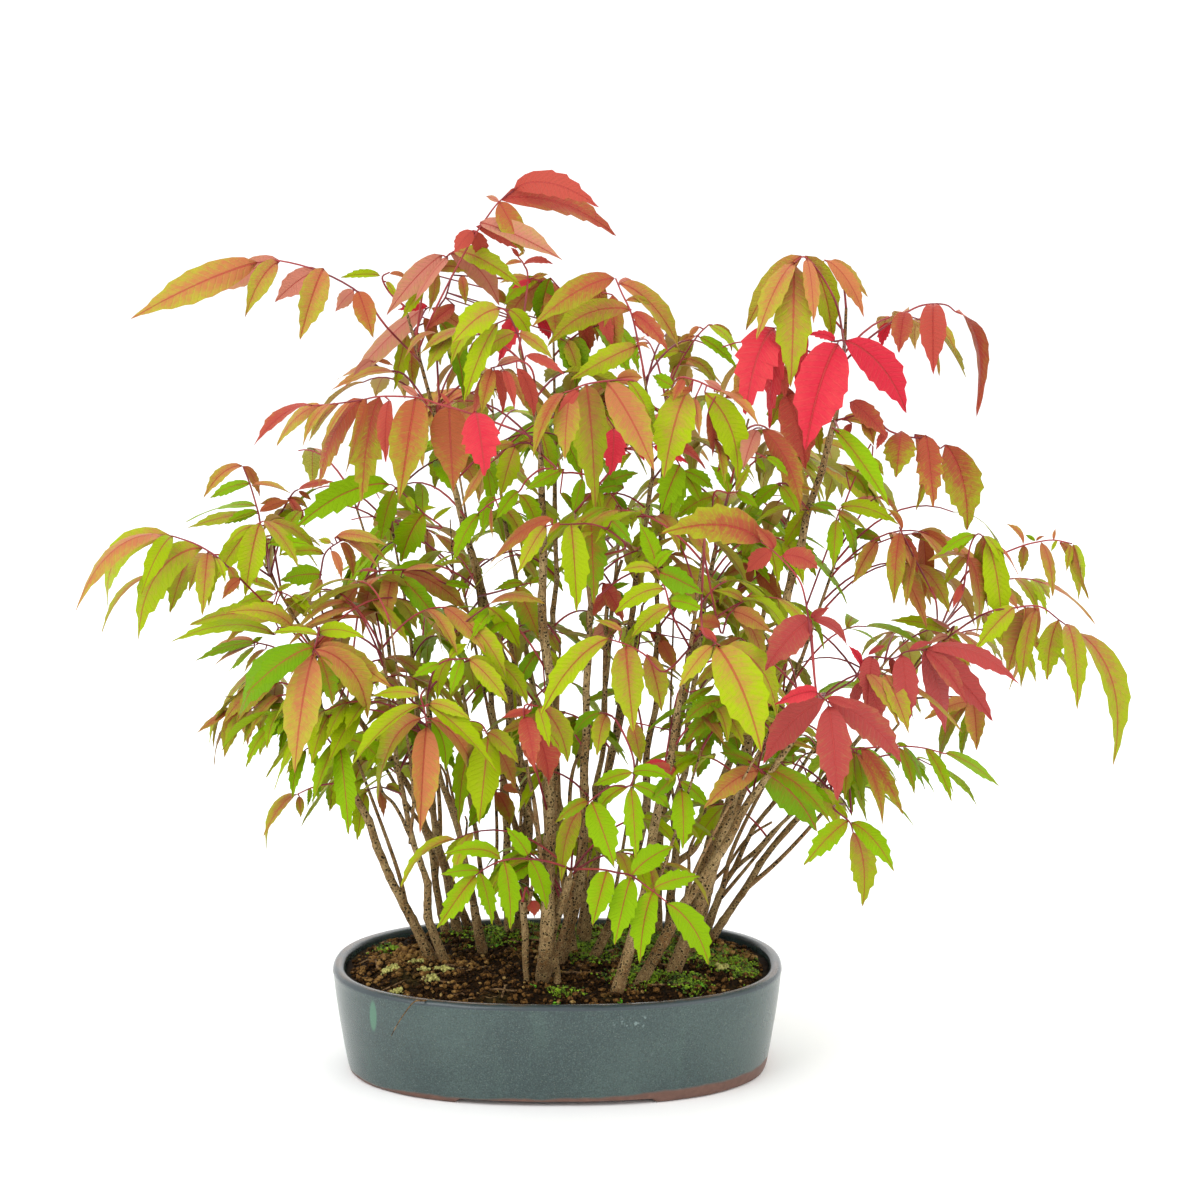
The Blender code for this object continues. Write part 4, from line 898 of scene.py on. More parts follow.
# %% Table of front leaves
# Front leaf: its stem, the share of the shoot where it starts (below zero: of the stem), its depth in
# mm from the pot's middle, its stalk as x and z in mm, and its leaflets, each as x and z of its foot,
# x and z of its tip, its width to its length, the first letter of its tint, and, where the outline of the
# crown shows it, how far it arches.
FRONT_LEAVES = (
    ("08", 0.6, -25, "-90 400, -103 417, -124 429, -146 435, -158 434",
     "-158 434 -226 404 .25 C .04, -146 435 -182 417 .32 P, -147 434 -165 405 .35 C, -125 430 -149 413 .42 P, "
     "-123 431 -136 393 .38 C, -107 419 -117 408 .55 P, -105 419 -97 394 .45 B"),
    ("08", 0.7, 0, "-72 410, -70 420, -65 430, -58 437",
     "-60 438 -90 406 .28 P, -56 439 -30 411 .38 P, -54 440 -18 421 .25 O, -65 430 -45 429 .35 O, "
     "-70 420 -82 404 .3 L, -65 430 -68 406 .25 C, -57 437 -76 411 .22 P"),
    ("08", 0.65, -15, "-66 405, -56 425, -45 445, -37 457, -30 466, -22 472",
     "-22 472 23 463 .3 R .16, -29 467 32 448 .24 R, -30 466 -17 438 .45 B, -30 466 -37 469 .4 P, "
     "-40 455 4 435 .24 P, -42 453 -16 440 .3 R, -44 451 -54 439 .6 R, -44 450 -38 434 .5 R"),
    ("08", 1.0, 5, "-88 418, -92 426, -88 429", "-93 427 -114 426 .2 L, -88 428 -78 425 .25 C, -90 424 -84 414 .3 L"),
    ("08", 0.3, 10, "-80 374, -92 377, -98 382",
     "-98 382 -108 374 .4 P, -94 379 -118 371 .15 C, -91 377 -120 366 .15 C, -96 382 -86 379 .25 C, "
     "-85 375 -112 370 .15 C"),
    ("08", 0.75, 25, "-70 408, -66 411",
     "-70 410 -114 366 .2 P, -66 410 -45 395 .3 C, -68 411 -84 409 .3 S, -70 405 -64 382 .3 B"),
    ("08", 0.5, 30, "-76 396, -66 404",
     "-79 397 -87 364 .25 L, -72 396 -75 364 .25 B, -62 403 -49 360 .25 D, -58 404 -56 380 .3 O"),
    ("10", 0.1, -95, "-11 340, -30 348, -51 355.6, -63 359, -74 362.3, -93 363, -104 361, -118 359, -130 358",
     "-43 355 -38 320 .53 S, -57 358 -55 311.6 .47 B, -75 362 -84 307.4 .35 B, -94 362.6 -104 306.4 .29 M, "
     "-101 361.5 -113.5 318.8 .2 B, -103 361.5 -127 314.7 .2 M, -89 361 -91 327 .22 R, -69 358 -71 324.5 .2 C, "
     "-120 359 -135.5 335.5 .2 C, -125 358 -149.4 336 .15 C, -130 358 -161.8 336 .13 R, "
     "-116 359 -132.5 337.6 .15 C, -74 363 -83 369 .35 P, -57 359 -62 365 .3 R, -110 360 -124 338 .15 C"),
    ("09", -1.0, -38, "-17 94, -15.4 89", "-14.3 86.5 -12.6 77.5 .8 R"),
    ("10", 0.55, -60, "-12 374.5, -18 381.7, -27 380, -35 378",
     "-34 377.6 -40 353 .33 B, -33 377 -28.7 353 .25 R, -28 377 -22.2 356 .25 R, -21 378 -11.8 352 .3 R, "
     "-36 377.6 -44.5 352 .2 R, -19 383 -32 378.6 .3 P, -16 384.8 4.5 374.5 .25 R"),
    ("10", 0.8, -55, "-18 386, -21 398, -26.6 408.4, -31 409.7",
     "-30 409.4 -55.2 391 .5 L, -22 397 -48.6 380 .33 L, -31 402 -49 359.7 .22 L, -25 409 -14 395 .5 L, "
     "-20 396.6 -1.6 382.7 .3 O, -33 405 -56 379 .25 L"),
    ("10", 1.0, 20, "-15 424, -17 433, -20 437",
     "-17 433 -1 433 .22 R, -18 434 -28 432 .25 C, -20 437 -24 442 .4 R, -20 437 -16 440 .3 C, "
     "-13 424 -24 420 .3 S, -14 425 -30 423 .25 C, -12 426 -4 428 .4 C, -9 424.8 -28 410.4 .35 G"),
    ("13", 0.95, -40, "47 373.5, 44.3 387.8, 40.2 406.3, 35 417.6, 31.5 425.8",
     "31 425.8 -12.9 400 .28 B, 40 408.9 -4.7 389.4 .28 O, 43.3 389.9 7.5 371.4 .3 L, 34 423 65.7 387.3 .2 C, "
     "40.2 407 59.6 387 .3 R, 37 414 50 412 .3 O, 41 403 55 391 .3 R, 33 423 40 425 .35 P, "
     "43 391 50 388 .25 C, 44 386 43 383 .3 C"),
    ("12", 0.9, 20, "0 410, 8 418, 14 421",
     "2 420 12 398 .4 B, 24 423 22 392 .35 C, 30 417 31 380 .3 B, 12 417 -12 405 .3 B, 6 424 10 424 .3 R, "
     "-3 426 -8 398 .4 D, 22 409 30 389 .35 R, 8 404 2 385 .3 G, 5 392 12 372 .4 O, 14 404 17 384 .45 R"),
    ("20", 0.95, 30, "58.7 365, 65.7 380.7, 74.9 395, 81 401.2",
     "81 401 98 385 .22 L, 83 401 93.3 386.8 .25 C, 76 400 70 394 .4 C, 74 395 63.7 388.9 .4 C, "
     "76 394.5 96.3 377.6 .25 G, 69 383 86.1 365.3 .25 O, 65.7 387 50 381.7 .3 L"),
    ("13", 0.75, -85, "42 371, 30 371.5, 16 369.5, 8 366",
     "8 365.5 4.7 329 .37 O, 16 369 21 301 .28 O, 27 370 52.5 323 .34 O, 38 371 54 337 .25 L, "
     "4 365 -12.5 330 .2 B, 32 372 46 373 .6 C, 12 366 0 352 .3 R"),
    ("20", 0.8, -70, "64 372, 74 371.5, 84 367, 91 364",
     "70 366 57.5 319 .42 L, 79 365 96.8 318 .33 L, 84 365.5 109.2 345 .15 C, 90.5 362 110.5 368 .25 C, "
     "74 362 76.5 341 .25 C, 81 355 83.5 330 .25 R, 72 366 55 363 .3 B, 88 366 78 372 .35 P, "
     "68 372 62 360 .4 M, 62 368 51 374 .6 G"),
    ("22", 0.9, -55, "98 335, 105 345, 110 346",
     "107 345 100 324 .45 P, 110 345.2 131 302.5 .27 M, 84.5 340 89.8 315 .18 M, 112 330 124 320 .25 G, "
     "107 330 112 322 .3 G, 96 338 80 342 .35 C, 94 336 86 322 .3 R"),
    ("11", 1.0, -40, "34 330, 33 342, 31 346",
     "30.5 346 29 320.3 .5 S, 40 332 34 322 .25 L, 27 352 26 345 .3 R, 43 334 47 328 .4 S, "
     "52 336 70.7 327 .3 S, 56 338 80 323.5 .2 R"),
    ("11", 0.6, -75, "36.7 281, 29.4 290, 19 294.2, 7.8 294.2, -2.5 294",
     "7.8 294.2 10.9 246.3 .3 L, 18.6 294.2 20.2 250.4 .35 D, 29.5 296 41 282.7 .35 D, -2 297 -39 268.3 .2 B, "
     "-6 293 -21 267 .3 L, 13 295 28 303 .25 D, 2 295 -5 288 .3 B, 24 292 36 280 .3 D"),
    ("10", 0.0, -45, "0 324, -8 324, -16 318, -21 311, -33 307, -42 300",
     "-41.3 300 -55.4 274 .3 G, -33.6 309 -38.9 287.6 .35 G, -20.6 312 -32.7 296.5 .4 G, "
     "-20 310.5 -10 287.6 .4 G, 2.4 323 -16.6 312.6 .33 G, -31 303 -18.6 280 .25 O, -35 303 -34 285 .12 B"),
    ("10", 0.05, -10, "-15 338, -24 336, -38 325",
     "-22 336 -30 309 .45 L, -13 340 -24 330 .35 O, -38 325 -51 303 .2 C, -37 324 -34 302 .25 G, "
     "-40 325 -43 311 .25 O, -22 337 -38 331 .3 O"),
    ("12", 0.1, -30, "2 323, 9 322, 18 320, 28 312, 35 302",
     "14 319 9 299 .35 G, 4 324 -5 312 .35 G, 20 318 24 300 .2 G, 2 311 12 298 .25 G, 25 315 44 322 .4 D, "
     "30 309 38 300 .3 D, 36 314 19.3 311 .4 D, 14 334 22 322 .5 D, 36 303 38 288 .25 D, 24 309 10 304 .3 B"),
    ("04", 0.8, 20, "-62 292, -71 300, -80 309, -88 315.5",
     "-89.3 315.7 -140.6 291 .27 G, -86.7 312.6 -94.2 285.5 .38 G, -80 309 -76 301 .5 G, "
     "-70.8 300 -83.4 273.5 .55 G, -72 301 -64 303 .3 L, -66 296 -55 304 .2 L"),
    ("03", 0.8, 15, "-155 274, -159 296, -159.6 300, -163.9 315.7, -167.6 325.6",
     "-168 325.6 -189 308 .22 C, -167 325.6 -158.7 309 .3 C, -163 315 -141.4 310.5 .2 C, -164 316 -185.5 308 .22 G, "
     "-160 301 -178 294 .3 G, -161 304 -199 295 .13 G, -161 300 -198 292 .1 O, -159 301 -142 307 .3 B"),
    ("03", 0.75, 40, "-152 290, -146 303, -141 311, -138 313",
     "-138 313 -118 317 .2 R, -138 312 -131 307 .35 B, -143 308 -134.6 292 .28 R, -144 308 -133 302 .3 C, "
     "-147 307 -159 305 .35 B, -149 299 -142 290 .3 C"),
    ("03", 0.9, -20, "-155 280, -157 290, -158.9 295",
     "-159 294.6 -167.3 255 .36 L, -161 294 -183.9 262.3 .25 L, -157 296 -138.4 270.8 .25 O, "
     "-154 295 -128.5 278.7 .2 O, -154 284 -132 283 .28 G, -156 285 -161 262 .35 B, -162 293 -178 281 .25 L"),
    ("03", 0.45, -45, "-173 267.6, -189.4 281.2, -203.8 287.1, -208.8 288",
     "-208.8 288 -259.5 245.4 .16 C .26, -207 288 -241.2 246 .2 L .22, -206 287.5 -223.3 256 .3 L .2, "
     "-190 281.5 -225.5 230.6 .27 L .16, -187 279 -190.7 244.3 .3 O, -184 277 -187 249 .3 O, -183 276 -178 262 .25 L, "
     "-176 271 -171 258 .4 O, -170 264 -180 253 .4 B"),
    ("03", 0.3, -10, "-127 252, -126 272, -123 280, -116 285",
     "-113 286 -95.8 270.4 .22 C, -116 284 -109.4 265 .28 C, -121 280 -115.6 263.6 .28 C, -119 287 -91.1 274.6 .22 C, "
     "-118 288 -90.5 282.4 .25 C, -121 284 -128 286 .5 L, -125 278 -149.6 277 .25 G, -126 266.6 -148.5 263.4 .5 G, "
     "-126 264 -133 253 .5 O"),
    ("06", 0.5, -5, "-60 262, -72 269, -92 269, -99 267, -108 260",
     "-82 268.5 -61.2 269.9 .16 C, -83 268 -47.3 245.4 .3 C, -88 267.5 -92.5 236.6 .33 C, "
     "-97 267 -104.5 232.9 .3 C, -107 260 -121.6 240.7 .3 C, -96 268 -110 267 .12 R, -84 265 -60.8 236.6 .3 D, "
     "-60 262 -46 259 .3 G"),
    ("02", 1.0, 10, "-98 250, -100 256", "-98 250 -75 230 .35 D, -99 252 -118 246 .3 C, -98 248 -90 236 .3 G"),
    ("03", 0.1, -10, "-131 242, -142 254, -150 258",
     "-152 252 -178 229.8 .28 C, -152 256 -175 248 .3 L, -151 251 -146.3 234.3 .33 L, -147 253 -133.8 241.7 .33 L, "
     "-142.6 255 -131.2 244.3 .33 L, -151 258 -168 264 .25 L, -150 258 -141 262 .3 L"),
    ("01", 0.8, -40, "-140 236, -150 238",
     "-152 234 -208.2 229.8 .16 L, -152 242 -198 239 .24 L, -142 237 -178 246 .26 L, -150 236 -130 236 .12 C"),
    ("01", 0.6, 20, "-150 226, -163 230",
     "-162.6 229.5 -195 219.5 .15 G, -163 230 -190 221.5 .12 C, -162 228.5 -187.6 215.2 .12 C, "
     "-163 227 -177.8 213 .2 G, -157 226 -169 212.6 .2 O, -164 229 -158 233 .4 G"),
    ("01", 0.9, -75, "-128 238, -129 232, -131 226",
     "-131 227 -168 201.5 .3 D, -132 225 -172 188 .31 D, -131.5 223 -142.4 157.5 .3 C, -130.2 226 -102.3 187.5 .34 C, "
     "-129.3 227 -88.6 204.6 .3 C, -129 233.8 -153.5 235 .12 L, -128 235 -103 232.5 .35 L, -128 222 -121 195 .4 D"),
    ("05", 1.0, -75, "-73.5 200.3, -72 194, -71 188, -70.5 184",
     "-74 195 -112.3 160.2 .19 L, -73.5 188 -97.3 140.9 .2 O, -70.7 183.2 -74.8 123.2 .28 C, "
     "-68.3 188 -42.8 140.4 .19 C, -69.4 195 -33 158.6 .22 L, -74.6 200.9 -100 200.3 .25 L, -69 196 -46 187 .3 L, "
     "-68 186 -60.5 158.5 .35 G"),
    ("05", 0.8, -55, "-66.8 213.2, -60.5 219.6, -48 221",
     "-63 218 -78 210.5 .35 G, -56.2 221 -64.4 197 .33 L, -51 220.5 -57.5 200.3 .33 G, -48 220.7 -27 208 .3 L, "
     "-47 220 -26 196 .33 L, -58 221 -48 229 .4 L"),
    ("07", 0.2, -40, "-58.7 231.4, -49.4 240.7, -37 250",
     "-48.4 240.7 -26.5 208.4 .3 L, -37 249 -19.9 226 .38 L, -36 251 -6 251 .15 O, -52 238 -38 240 .25 L"),
    ("07", 0.3, 0, "-30 258, -16 262", "-18 262 -34 258 .3 G, -14 262 -6 265 .4 G, -22 260 -9.5 232 .45 D"),
    ("10", -0.55, -75, "-18 190, -10 195",
     "-17.5 189 -11.9 160.7 .4 R, -14.4 184 -4.6 150.6 .45 R, -17 184 -11.4 157.5 .3 R, -9 194.5 6 163.3 .4 O, "
     "-10 194 -4 172 .33 L, -14 192 -30 188 .3 R"),
    ("05", 0.5, -50, "-44 186, -37 178",
     "-37 179 -42.5 128.5 .36 L, -37 178 -22.3 148.4 .33 O, -38 180 -20.7 163 .42 O, -41 182 -53.3 128.6 .25 G, "
     "-40 181 -52 185 .35 L"),
    ("07", -0.5, 40, "-36 150, -30 148", "-36 145 -48.3 127 .45 G, -33.7 147 -25.4 128 .5 B, -29.5 149 -18 145.5 .45 B"),
    ("10", -0.7, -20, "-8 226", "-9 225 -22.7 202 .33 D, -8 226 4 212 .3 L"),
    ("14", 0.0, -100, "57.9 213.6, 47.6 222.9, 37.9 228.4, 29.8 231.1",
     "28 232 -8.8 189 .22 L, 35 236 20 242 .25 O, 37.3 227.8 41.7 179.9 .36 O, 48.7 223.4 56.8 191.5 .38 O"),
    ("01", 0.2, -50, "-112 178, -117 175",
     "-118 174 -113.4 123.2 .22 G, -115 176 -94 160 .42 G, -119 176 -133 140 .2 G, -116 176 -108 184 .45 G"),
    ("01", 0.3, -15, "-128 192, -140 188, -148 186",
     "-150 186 -168.6 160.7 .2 G, -149 185 -161 167 .33 O, -148 184 -151 165 .25 G, -130 191 -138 180 .45 G, "
     "-142 186 -158.7 177 .3 D"),
    ("01", 0.1, -25, "-128 176, -136 171",
     "-136 170 -143.6 143.5 .25 G, -134 170 -131 160 .4 G, -137 170 -147 157 .3 L, -130 175 -132 164 .4 O"),
    ("01", -0.65, -20, "-120 152, -132 150, -141 146",
     "-141.4 146.2 -160 122 .16 O, -141.5 145.7 -158.5 114 .12 O, -140 145 -139.4 132.8 .4 O, "
     "-135 149 -136 138 .3 G, -131 150 -130 143 .35 G"),
    ("02", -0.75, 10, "-96 150, -104 148",
     "-104 147 -108.8 120 .33 L, -98 149 -94.5 132.5 .3 C, -93 150 -82 145 .4 O, -102 148 -113 141 .35 L"),
    ("01", 0.25, 5, "-150 196, -165 197, -174 194",
     "-174 194 -196.9 178.3 .16 B, -176 193 -188.2 173.5 .14 O, -172 194 -180.3 166 .32 B, "
     "-158.7 195 -160 177.6 .36 O, -168 196 -180 200 .2 O"),
    ("25", 1.0, -85, "-3.5 108, -17 110, -29.7 109, -39 104.7, -45 100.3",
     "-16 111.7 -28 127.3 .45 G, -15 109.5 -5.5 81.3 .35 G, -30.8 109.5 -62.2 112.2 .28 G, "
     "-29.2 108.4 -25.5 70 .3 G, -42.3 103 -63.8 100.9 .33 G, -42.3 102 -35.4 72.6 .3 G, -44.5 100.9 -65.8 70.5 .3 G"),
    ("25", 1.0, -95, "23 104, 33.3 102, 40.6 100.3, 52.3 91.6, 59.8 85.6",
     "27 103 19.3 72.3 .43 G, 40.7 100.9 63.5 117 .45 G, 40 99.2 31.4 61.2 .36 G, 52.8 93.3 77.8 100.3 .38 G, "
     "52.3 91.6 45.2 51.3 .33 G, 59.8 85 82.9 50.2 .35 G"),
    ("11", -0.8, -75, "29 189.7, 36.4 179, 41.7 164, 40 151, 30 150.5, 20.7 144.6, 14.4 138.8",
     "16.5 142 -1.4 129.6 .33 D, 13 137 2.3 96.6 .28 O, 18.6 142 31.2 105.8 .4 G, 41 158 19.6 150.5 .33 G, "
     "41 158 63.8 154.3 .3 G, 38.6 150 20.7 133 .25 G, 40.1 150 43 110 .26 G, 41 151 62.2 136.5 .28 G, "
     "27 190 21.8 167 .42 O, 24 191 9 178 .33 D"),
    ("14", -0.8, -60, "60 168, 65 158, 67 150",
     "67.5 149 68.6 115.2 .37 G, 67 153 82.7 138 .35 G, 64.9 157 51 163 .35 R, 62 161 45.5 161.3 .3 S, "
     "64.5 156 52.3 143.5 .45 D, 64 161 80 166 .36 G"),
    ("22", -0.85, 40, "75 190, 83 186",
     "82.7 185 89 172.4 .5 D, 79 186 82.7 168 .45 D, 85 185 97 179 .5 D, 73 189 60 186 .3 G, 78 184 66 173 .3 G"),
    ("14", 1.0, -115, "78 240, 84 231, 88 228",
     "86 228 111 169 .38 L, 90 227 119.6 187 .28 L, 84 228 66 205 .33 L, 86 230 76 238 .35 R"),
    ("14", 0.9, -60, "88 236, 92.5 245, 105 257",
     "95 246.5 116 235 .42 C, 103 255 117 243 .28 L, 100 252 84 258 .3 O, 92 245 76 243 .33 O, 88 238 71 240 .45 B, "
     "96 247 111.5 214.5 .25 O"),
    ("15", 1.0, -110, "142 201, 146.5 197",
     "141 202 117.5 195.4 .33 S, 144.5 198 111.8 162.5 .34 K, 146.8 195 152.6 142 .34 K, 146.6 197.5 187 163.6 .3 K, "
     "146 199 165 192 .25 K"),
    ("15", 0.95, -95, "140.3 202, 138 228, 137 242",
     "137.4 242 112.5 214 .46 K, 138 242 156.7 227.3 .25 K, 137 243 147 249 .4 K"),
    ("15", 0.9, -100, "140.3 202, 136.5 235, 133.5 254.5, 129 266, 116.5 279.5, 109.5 284.8",
     "109.3 284.8 56 289 .36 M, 115.5 280 102 268 .55 R, 116.5 281 106 293 .42 R, 121 277 140.5 270 .55 R"),
    ("15", 0.9, -60, "150 203, 161.2 210.3, 167 221.4, 181.6 221, 188 224.6, 199.5 226.2",
     "199.5 226.2 250.3 206.6 .17 K, 199.3 224.5 236 186.4 .22 K, 199 225 222 195.4 .25 K, 198 225 210.5 179.5 .28 K, "
     "186 223 190.5 184.3 .36 K, 180 221 184 206 .3 K, 170 222 168 195.4 .42 K, 168 223 177.5 228 .3 K, "
     "164 216 157 228 .25 S, 190 225 203 230 .25 K"),
    ("18", 0.3, 0, "166 208", "167 208 175 184.8 .5 K, 166 208 160 190 .35 K, 167 210 180 206 .3 K"),
    ("15", -0.85, -50, "104 164, 110 160",
     "109.5 159 79.5 137.5 .35 C, 110.5 158 141.5 125.2 .45 D, 112 160 149 129.5 .22 D, 109 161 88 169 .3 D"),
    ("15", -0.9, -30, "120 165, 134 152, 142 146", "134 151 150.6 139.7 .3 G, 140 148 153 126 .4 O, 130 156 118 150 .3 D"),
    ("19", 1.0, -10, "158 168, 163 171, 184.4 172.6, 198.2 171.7, 210.8 168.3",
     "164.5 172 188.3 134.5 .22 M, 161.4 169 169 129.5 .2 L, 162 169 177 128.7 .18 B, 160 169 165.5 142.5 .36 D, "
     "185.4 172 194.2 145.8 .22 D, 187.6 172 200 148 .18 D, 199.7 171.5 214.5 141.7 .22 G, 210.7 168.8 240.3 150.3 .16 G, "
     "184 174 190 173 .35 G, 203 169 206.5 157 .2 G, 158 168 156 142 .25 D"),
    ("28", 0.2, 20, "215 200, 224 197.5, 231 196",
     "223 197 198.7 187.1 .33 O, 223 196 207.5 159.4 .22 O, 225 197 227.6 170 .42 O, 231 196 219.2 162.5 .22 L"),
    ("19", 0.8, -60, "150 138.6, 158.8 130.8, 161 125",
     "158.3 131 134.5 106 .33 G, 161 125 166.8 83 .33 O, 160 130 183.9 102.7 .3 G, 158 132 150.5 142 .3 L"),
    ("28", 0.3, 10, "212 237, 211 232",
     "211.5 235 179.1 241.8 .18 L, 212 237 198.2 244.5 .14 P, 212 235 218.3 229.5 .3 G, 211.7 232 221.9 214.7 .45 M, "
     "211 233 199 228 .3 P"),
    ("28", 0.6, -40, "227.6 244.2, 245.3 248.5, 259.7 249.5, 270.2 242.3, 278.6 236",
     "278.6 235.8 301.5 161.3 .18 O .24, 270.2 242 265 208.9 .4 L, 274.4 240 281.5 192.5 .25 O .2, 259.7 248.5 243.5 212 .48 O, "
     "257.7 248 250.8 203.6 .2 O, 252 249 244 202.5 .18 O, 246.3 249 225.7 225.8 .38 L, 245.3 249 240.2 230.5 .22 C"),
    ("28", 0.8, 10, "219 266, 233.6 275.4, 248.6 282, 257.4 284.4, 266.7 285.6, 276.6 283.6",
     "277 283.3 286.4 253.2 .15 O, 277 283 283 258 .1 L, 276 283 273.9 268.5 .3 L, 269.9 284 280.4 251.3 .18 O, "
     "260 284.5 267 254.3 .22 O, 251.2 282.5 249.9 268 .4 O, 250.2 283 241 294.4 .2 C, 256.7 285 251.1 288.5 .35 G, "
     "257.4 285 262 287.7 .3 C, 266.7 285.6 267.5 291.9 .3 C, 268.5 285.5 265.3 279 .3 L"),
    ("28", 0.9, -20, "217.2 253.7, 219.7 266.4, 221.9 282.2, 226 289, 231 285",
     "223.8 288 204.9 277 .3 G, 224.8 288.6 215.6 278 .3 L, 229 288 241 268 .22 L, 229 288 228.6 250 .28 O, "
     "231 285 240.1 230.5 .26 L, 221 276 226 232.6 .2 B, 221 275 199 273.8 .12 O, 221 278 208.3 261 .33 O, "
     "231 284 248.5 265.4 .12 B, 230 286 233 245 .26 O, 219 262 213 248 .3 R"),
    ("28", 0.8, -15, "204.2 251.6, 200 261, 193.1 273.8, 186.2 287.5, 183.6 292.8",
     "184 290 181.5 250 .26 B, 186 287 194 267.5 .33 R, 192 277 188 249 .22 O, 200 260 204 252 .6 B, 185 291 176 303 .25 B"),
    ("17", 0.8, 5, "150 270, 161 277.5, 172 283.7, 184 288, 196 289.5",
     "172 285 158.5 260.6 .34 C, 174 285 155 289 .33 D, 182 287 183 270 .3 R, 196 289 197.5 251 .27 B, "
     "196 289.5 214.6 276.5 .28 B, 190 289 203 284 .25 O"),
    ("17", 0.9, 20, "166 304, 172 309", "170 309 156 304 .25 B, 172 309 184.5 294 .16 B, 171 309 178 297 .2 O"),
    ("17", 1.0, -10, "150 295, 152 303",
     "150 297 148.5 270 .33 G, 151 300 160.5 273.5 .26 G, 152 303 183.5 294 .27 L, 152 304 164 304 .2 G, "
     "150 302 136 305 .3 D, 151 301 166 291 .22 O"),
    ("16", 0.7, -45, "149 411, 140 428, 131.5 437, 126 433.5",
     "125.6 433.2 124.8 367.7 .3 O, 130 437.5 100.6 397.7 .24 C, 126 434 106.4 393 .25 C, 132 437.5 146.5 391 .27 O, "
     "132.6 436 136.8 401.3 .24 C"),
    ("16", 1.0, -5, "152 423, 147 432, 142 435.5",
     "142.9 435.4 163.4 405 .25 C, 145 435 165.4 415.8 .26 C, 142 435 134 426 .3 C, 148 431 155 418 .25 B"),
    ("16", 0.6, -50, "153.2 392.2, 147 392.5, 135 397, 116 399.5",
     "149.5 391 133 333.7 .46 S, 153.5 392.5 186.7 353.8 .37 S, 116 399.3 101 353 .44 S, 121.2 399 114 345 .22 S, "
     "148 392.6 133 396 .3 S, 133 397 128 370 .4 S"),
    ("16", 0.3, 10, "124 380, 117 382", "117 381 122 362 .45 R, 119 381 104 375 .35 R"),
    ("16", 0.6, -20, "161 389.5, 167 394.6, 176 401.3, 189.3 409.6, 197.5 412, 206.7 411.7, 211.8 408",
     "185.2 408 182.2 385.9 .52 R, 177.6 402 173.1 389 .45 S, 200 412.2 200.7 374.5 .38 R, 211.8 408 224 351.8 .14 R .26"),
    ("16", 0.1, -25, "168 354, 175 346.5, 180 343.5, 189.5 341, 198.8 340.4, 205 335",
     "183.9 344.4 181.6 319.1 .68 M, 191.4 342.8 192.5 301.3 .24 M, 197.2 342.3 202.1 303.5 .36 M, 207.5 336.9 220.1 290.5 .43 M, "
     "156.5 360 177 340.7 .4 R, 152.3 350.3 175.9 340.7 .22 O, 165.1 352.5 169.6 336.4 .5 B, 157.7 348.2 154.6 339.6 .5 R, 176.9 343.9 170.7 334.2 .4 R"),
    ("16", 0.05, -50, "151 344, 147 346.3", "147.5 346.2 178.5 303.3 .19 G, 150 345 158 330 .25 G"),
    ("16", 0.1, 10, "140 350, 130 362, 122 364",
     "122 364 133.3 323.6 .48 R, 124 364 114 346 .5 O, 137 352 141 331 .35 O, 128 362 112 366 .35 R"),
    ("13", 0.2, -30, "62 330, 68 322",
     "66 326 56 300 .5 G, 68 323 84 313 .4 G, 67 322 60 294 .45 G, 68 322 78 304 .35 G"),
    ("22", 0.7, -25, "84 310, 92 311, 98 312",
     "96 311 108 303 .4 G, 84 309 64 297 .42 G, 92 311 82 326 .4 G, 96 312 104 326 .28 L, 86 309 88 292 .35 D"),
    ("21", 0.2, -10, "118 316, 128 310, 135 302",
     "120 315 130 299 .5 G, 119 315 104 302 .38 G, 124 314 139 312 .25 B, 135 301 122 281 .38 L, "
     "134.5 302.5 104 293.6 .12 O, 135 302 150 297 .25 D"),
    ("14", 0.1, -90, "62.6 244, 58.5 258.7, 53.7 270",
     "53.5 271 44 295 .38 G, 53.2 269.5 34.2 268.5 .33 L, 55.4 268 79 256.5 .48 D, 58 259 31.2 245.3 .33 L, "
     "61 252.2 80 247 .42 G, 61 249.6 40.5 232.5 .38 L, 54 270 64 280 .4 G"),
    ("11", 0.3, 0, "24 262, 30 258", "25 262 36 241 .4 R, 30 258 16 240 .3 R, 29 258 40 262 .3 D, 30 258 36 250 .35 D"),
    ("22", 0.2, 60, "108 266, 104 272", "107 268 122 250 .45 B, 104 272 88 264 .4 B, 106 270 96 252 .3 B"),
    ("14", -0.6, -40, "64.4 198.1, 71.9 202.5", "84.9 205.9 67.6 194.8 .22 G, 64.4 184.9 55.3 179.9 .3 D, 40.6 186 45.5 162.7 .42 O"),
    ("14", -0.7, 20, "72.1 173.3, 79.6 178.8, 87.2 182.7",
     "82.8 191.5 75.9 172.7 .6 D, 90.4 186 98.1 169.4 .6 D, 80.7 174.9 76.5 155 .55 D, 72.1 176 65.6 172.7 .5 G, 89.4 174.9 100.3 159.4 .4 D"),
    ("13", -0.55, 30, "44.9 233.3, 35.1 239.9", "34.6 239.9 17.9 227.8 .5 P, 50.2 235.5 62.1 222.9 .4 B, 55.6 231.1 64.3 213.6 .45 B, 71.8 231.1 83.6 237.7 .45 C"),
    ("08", -0.97, 30, "-63.7 401, -58.3 416.4, -55 427.5",
     "-53.6 411.1 -69.1 398.3 .4 R, -62.5 427 -66.3 413.7 .4 B, -49.8 427 -47.7 411.1 .35 B, -34 396.2 -48.5 378.1 .34 B, -21.3 404.7 -30.4 381.3 .42 S, "
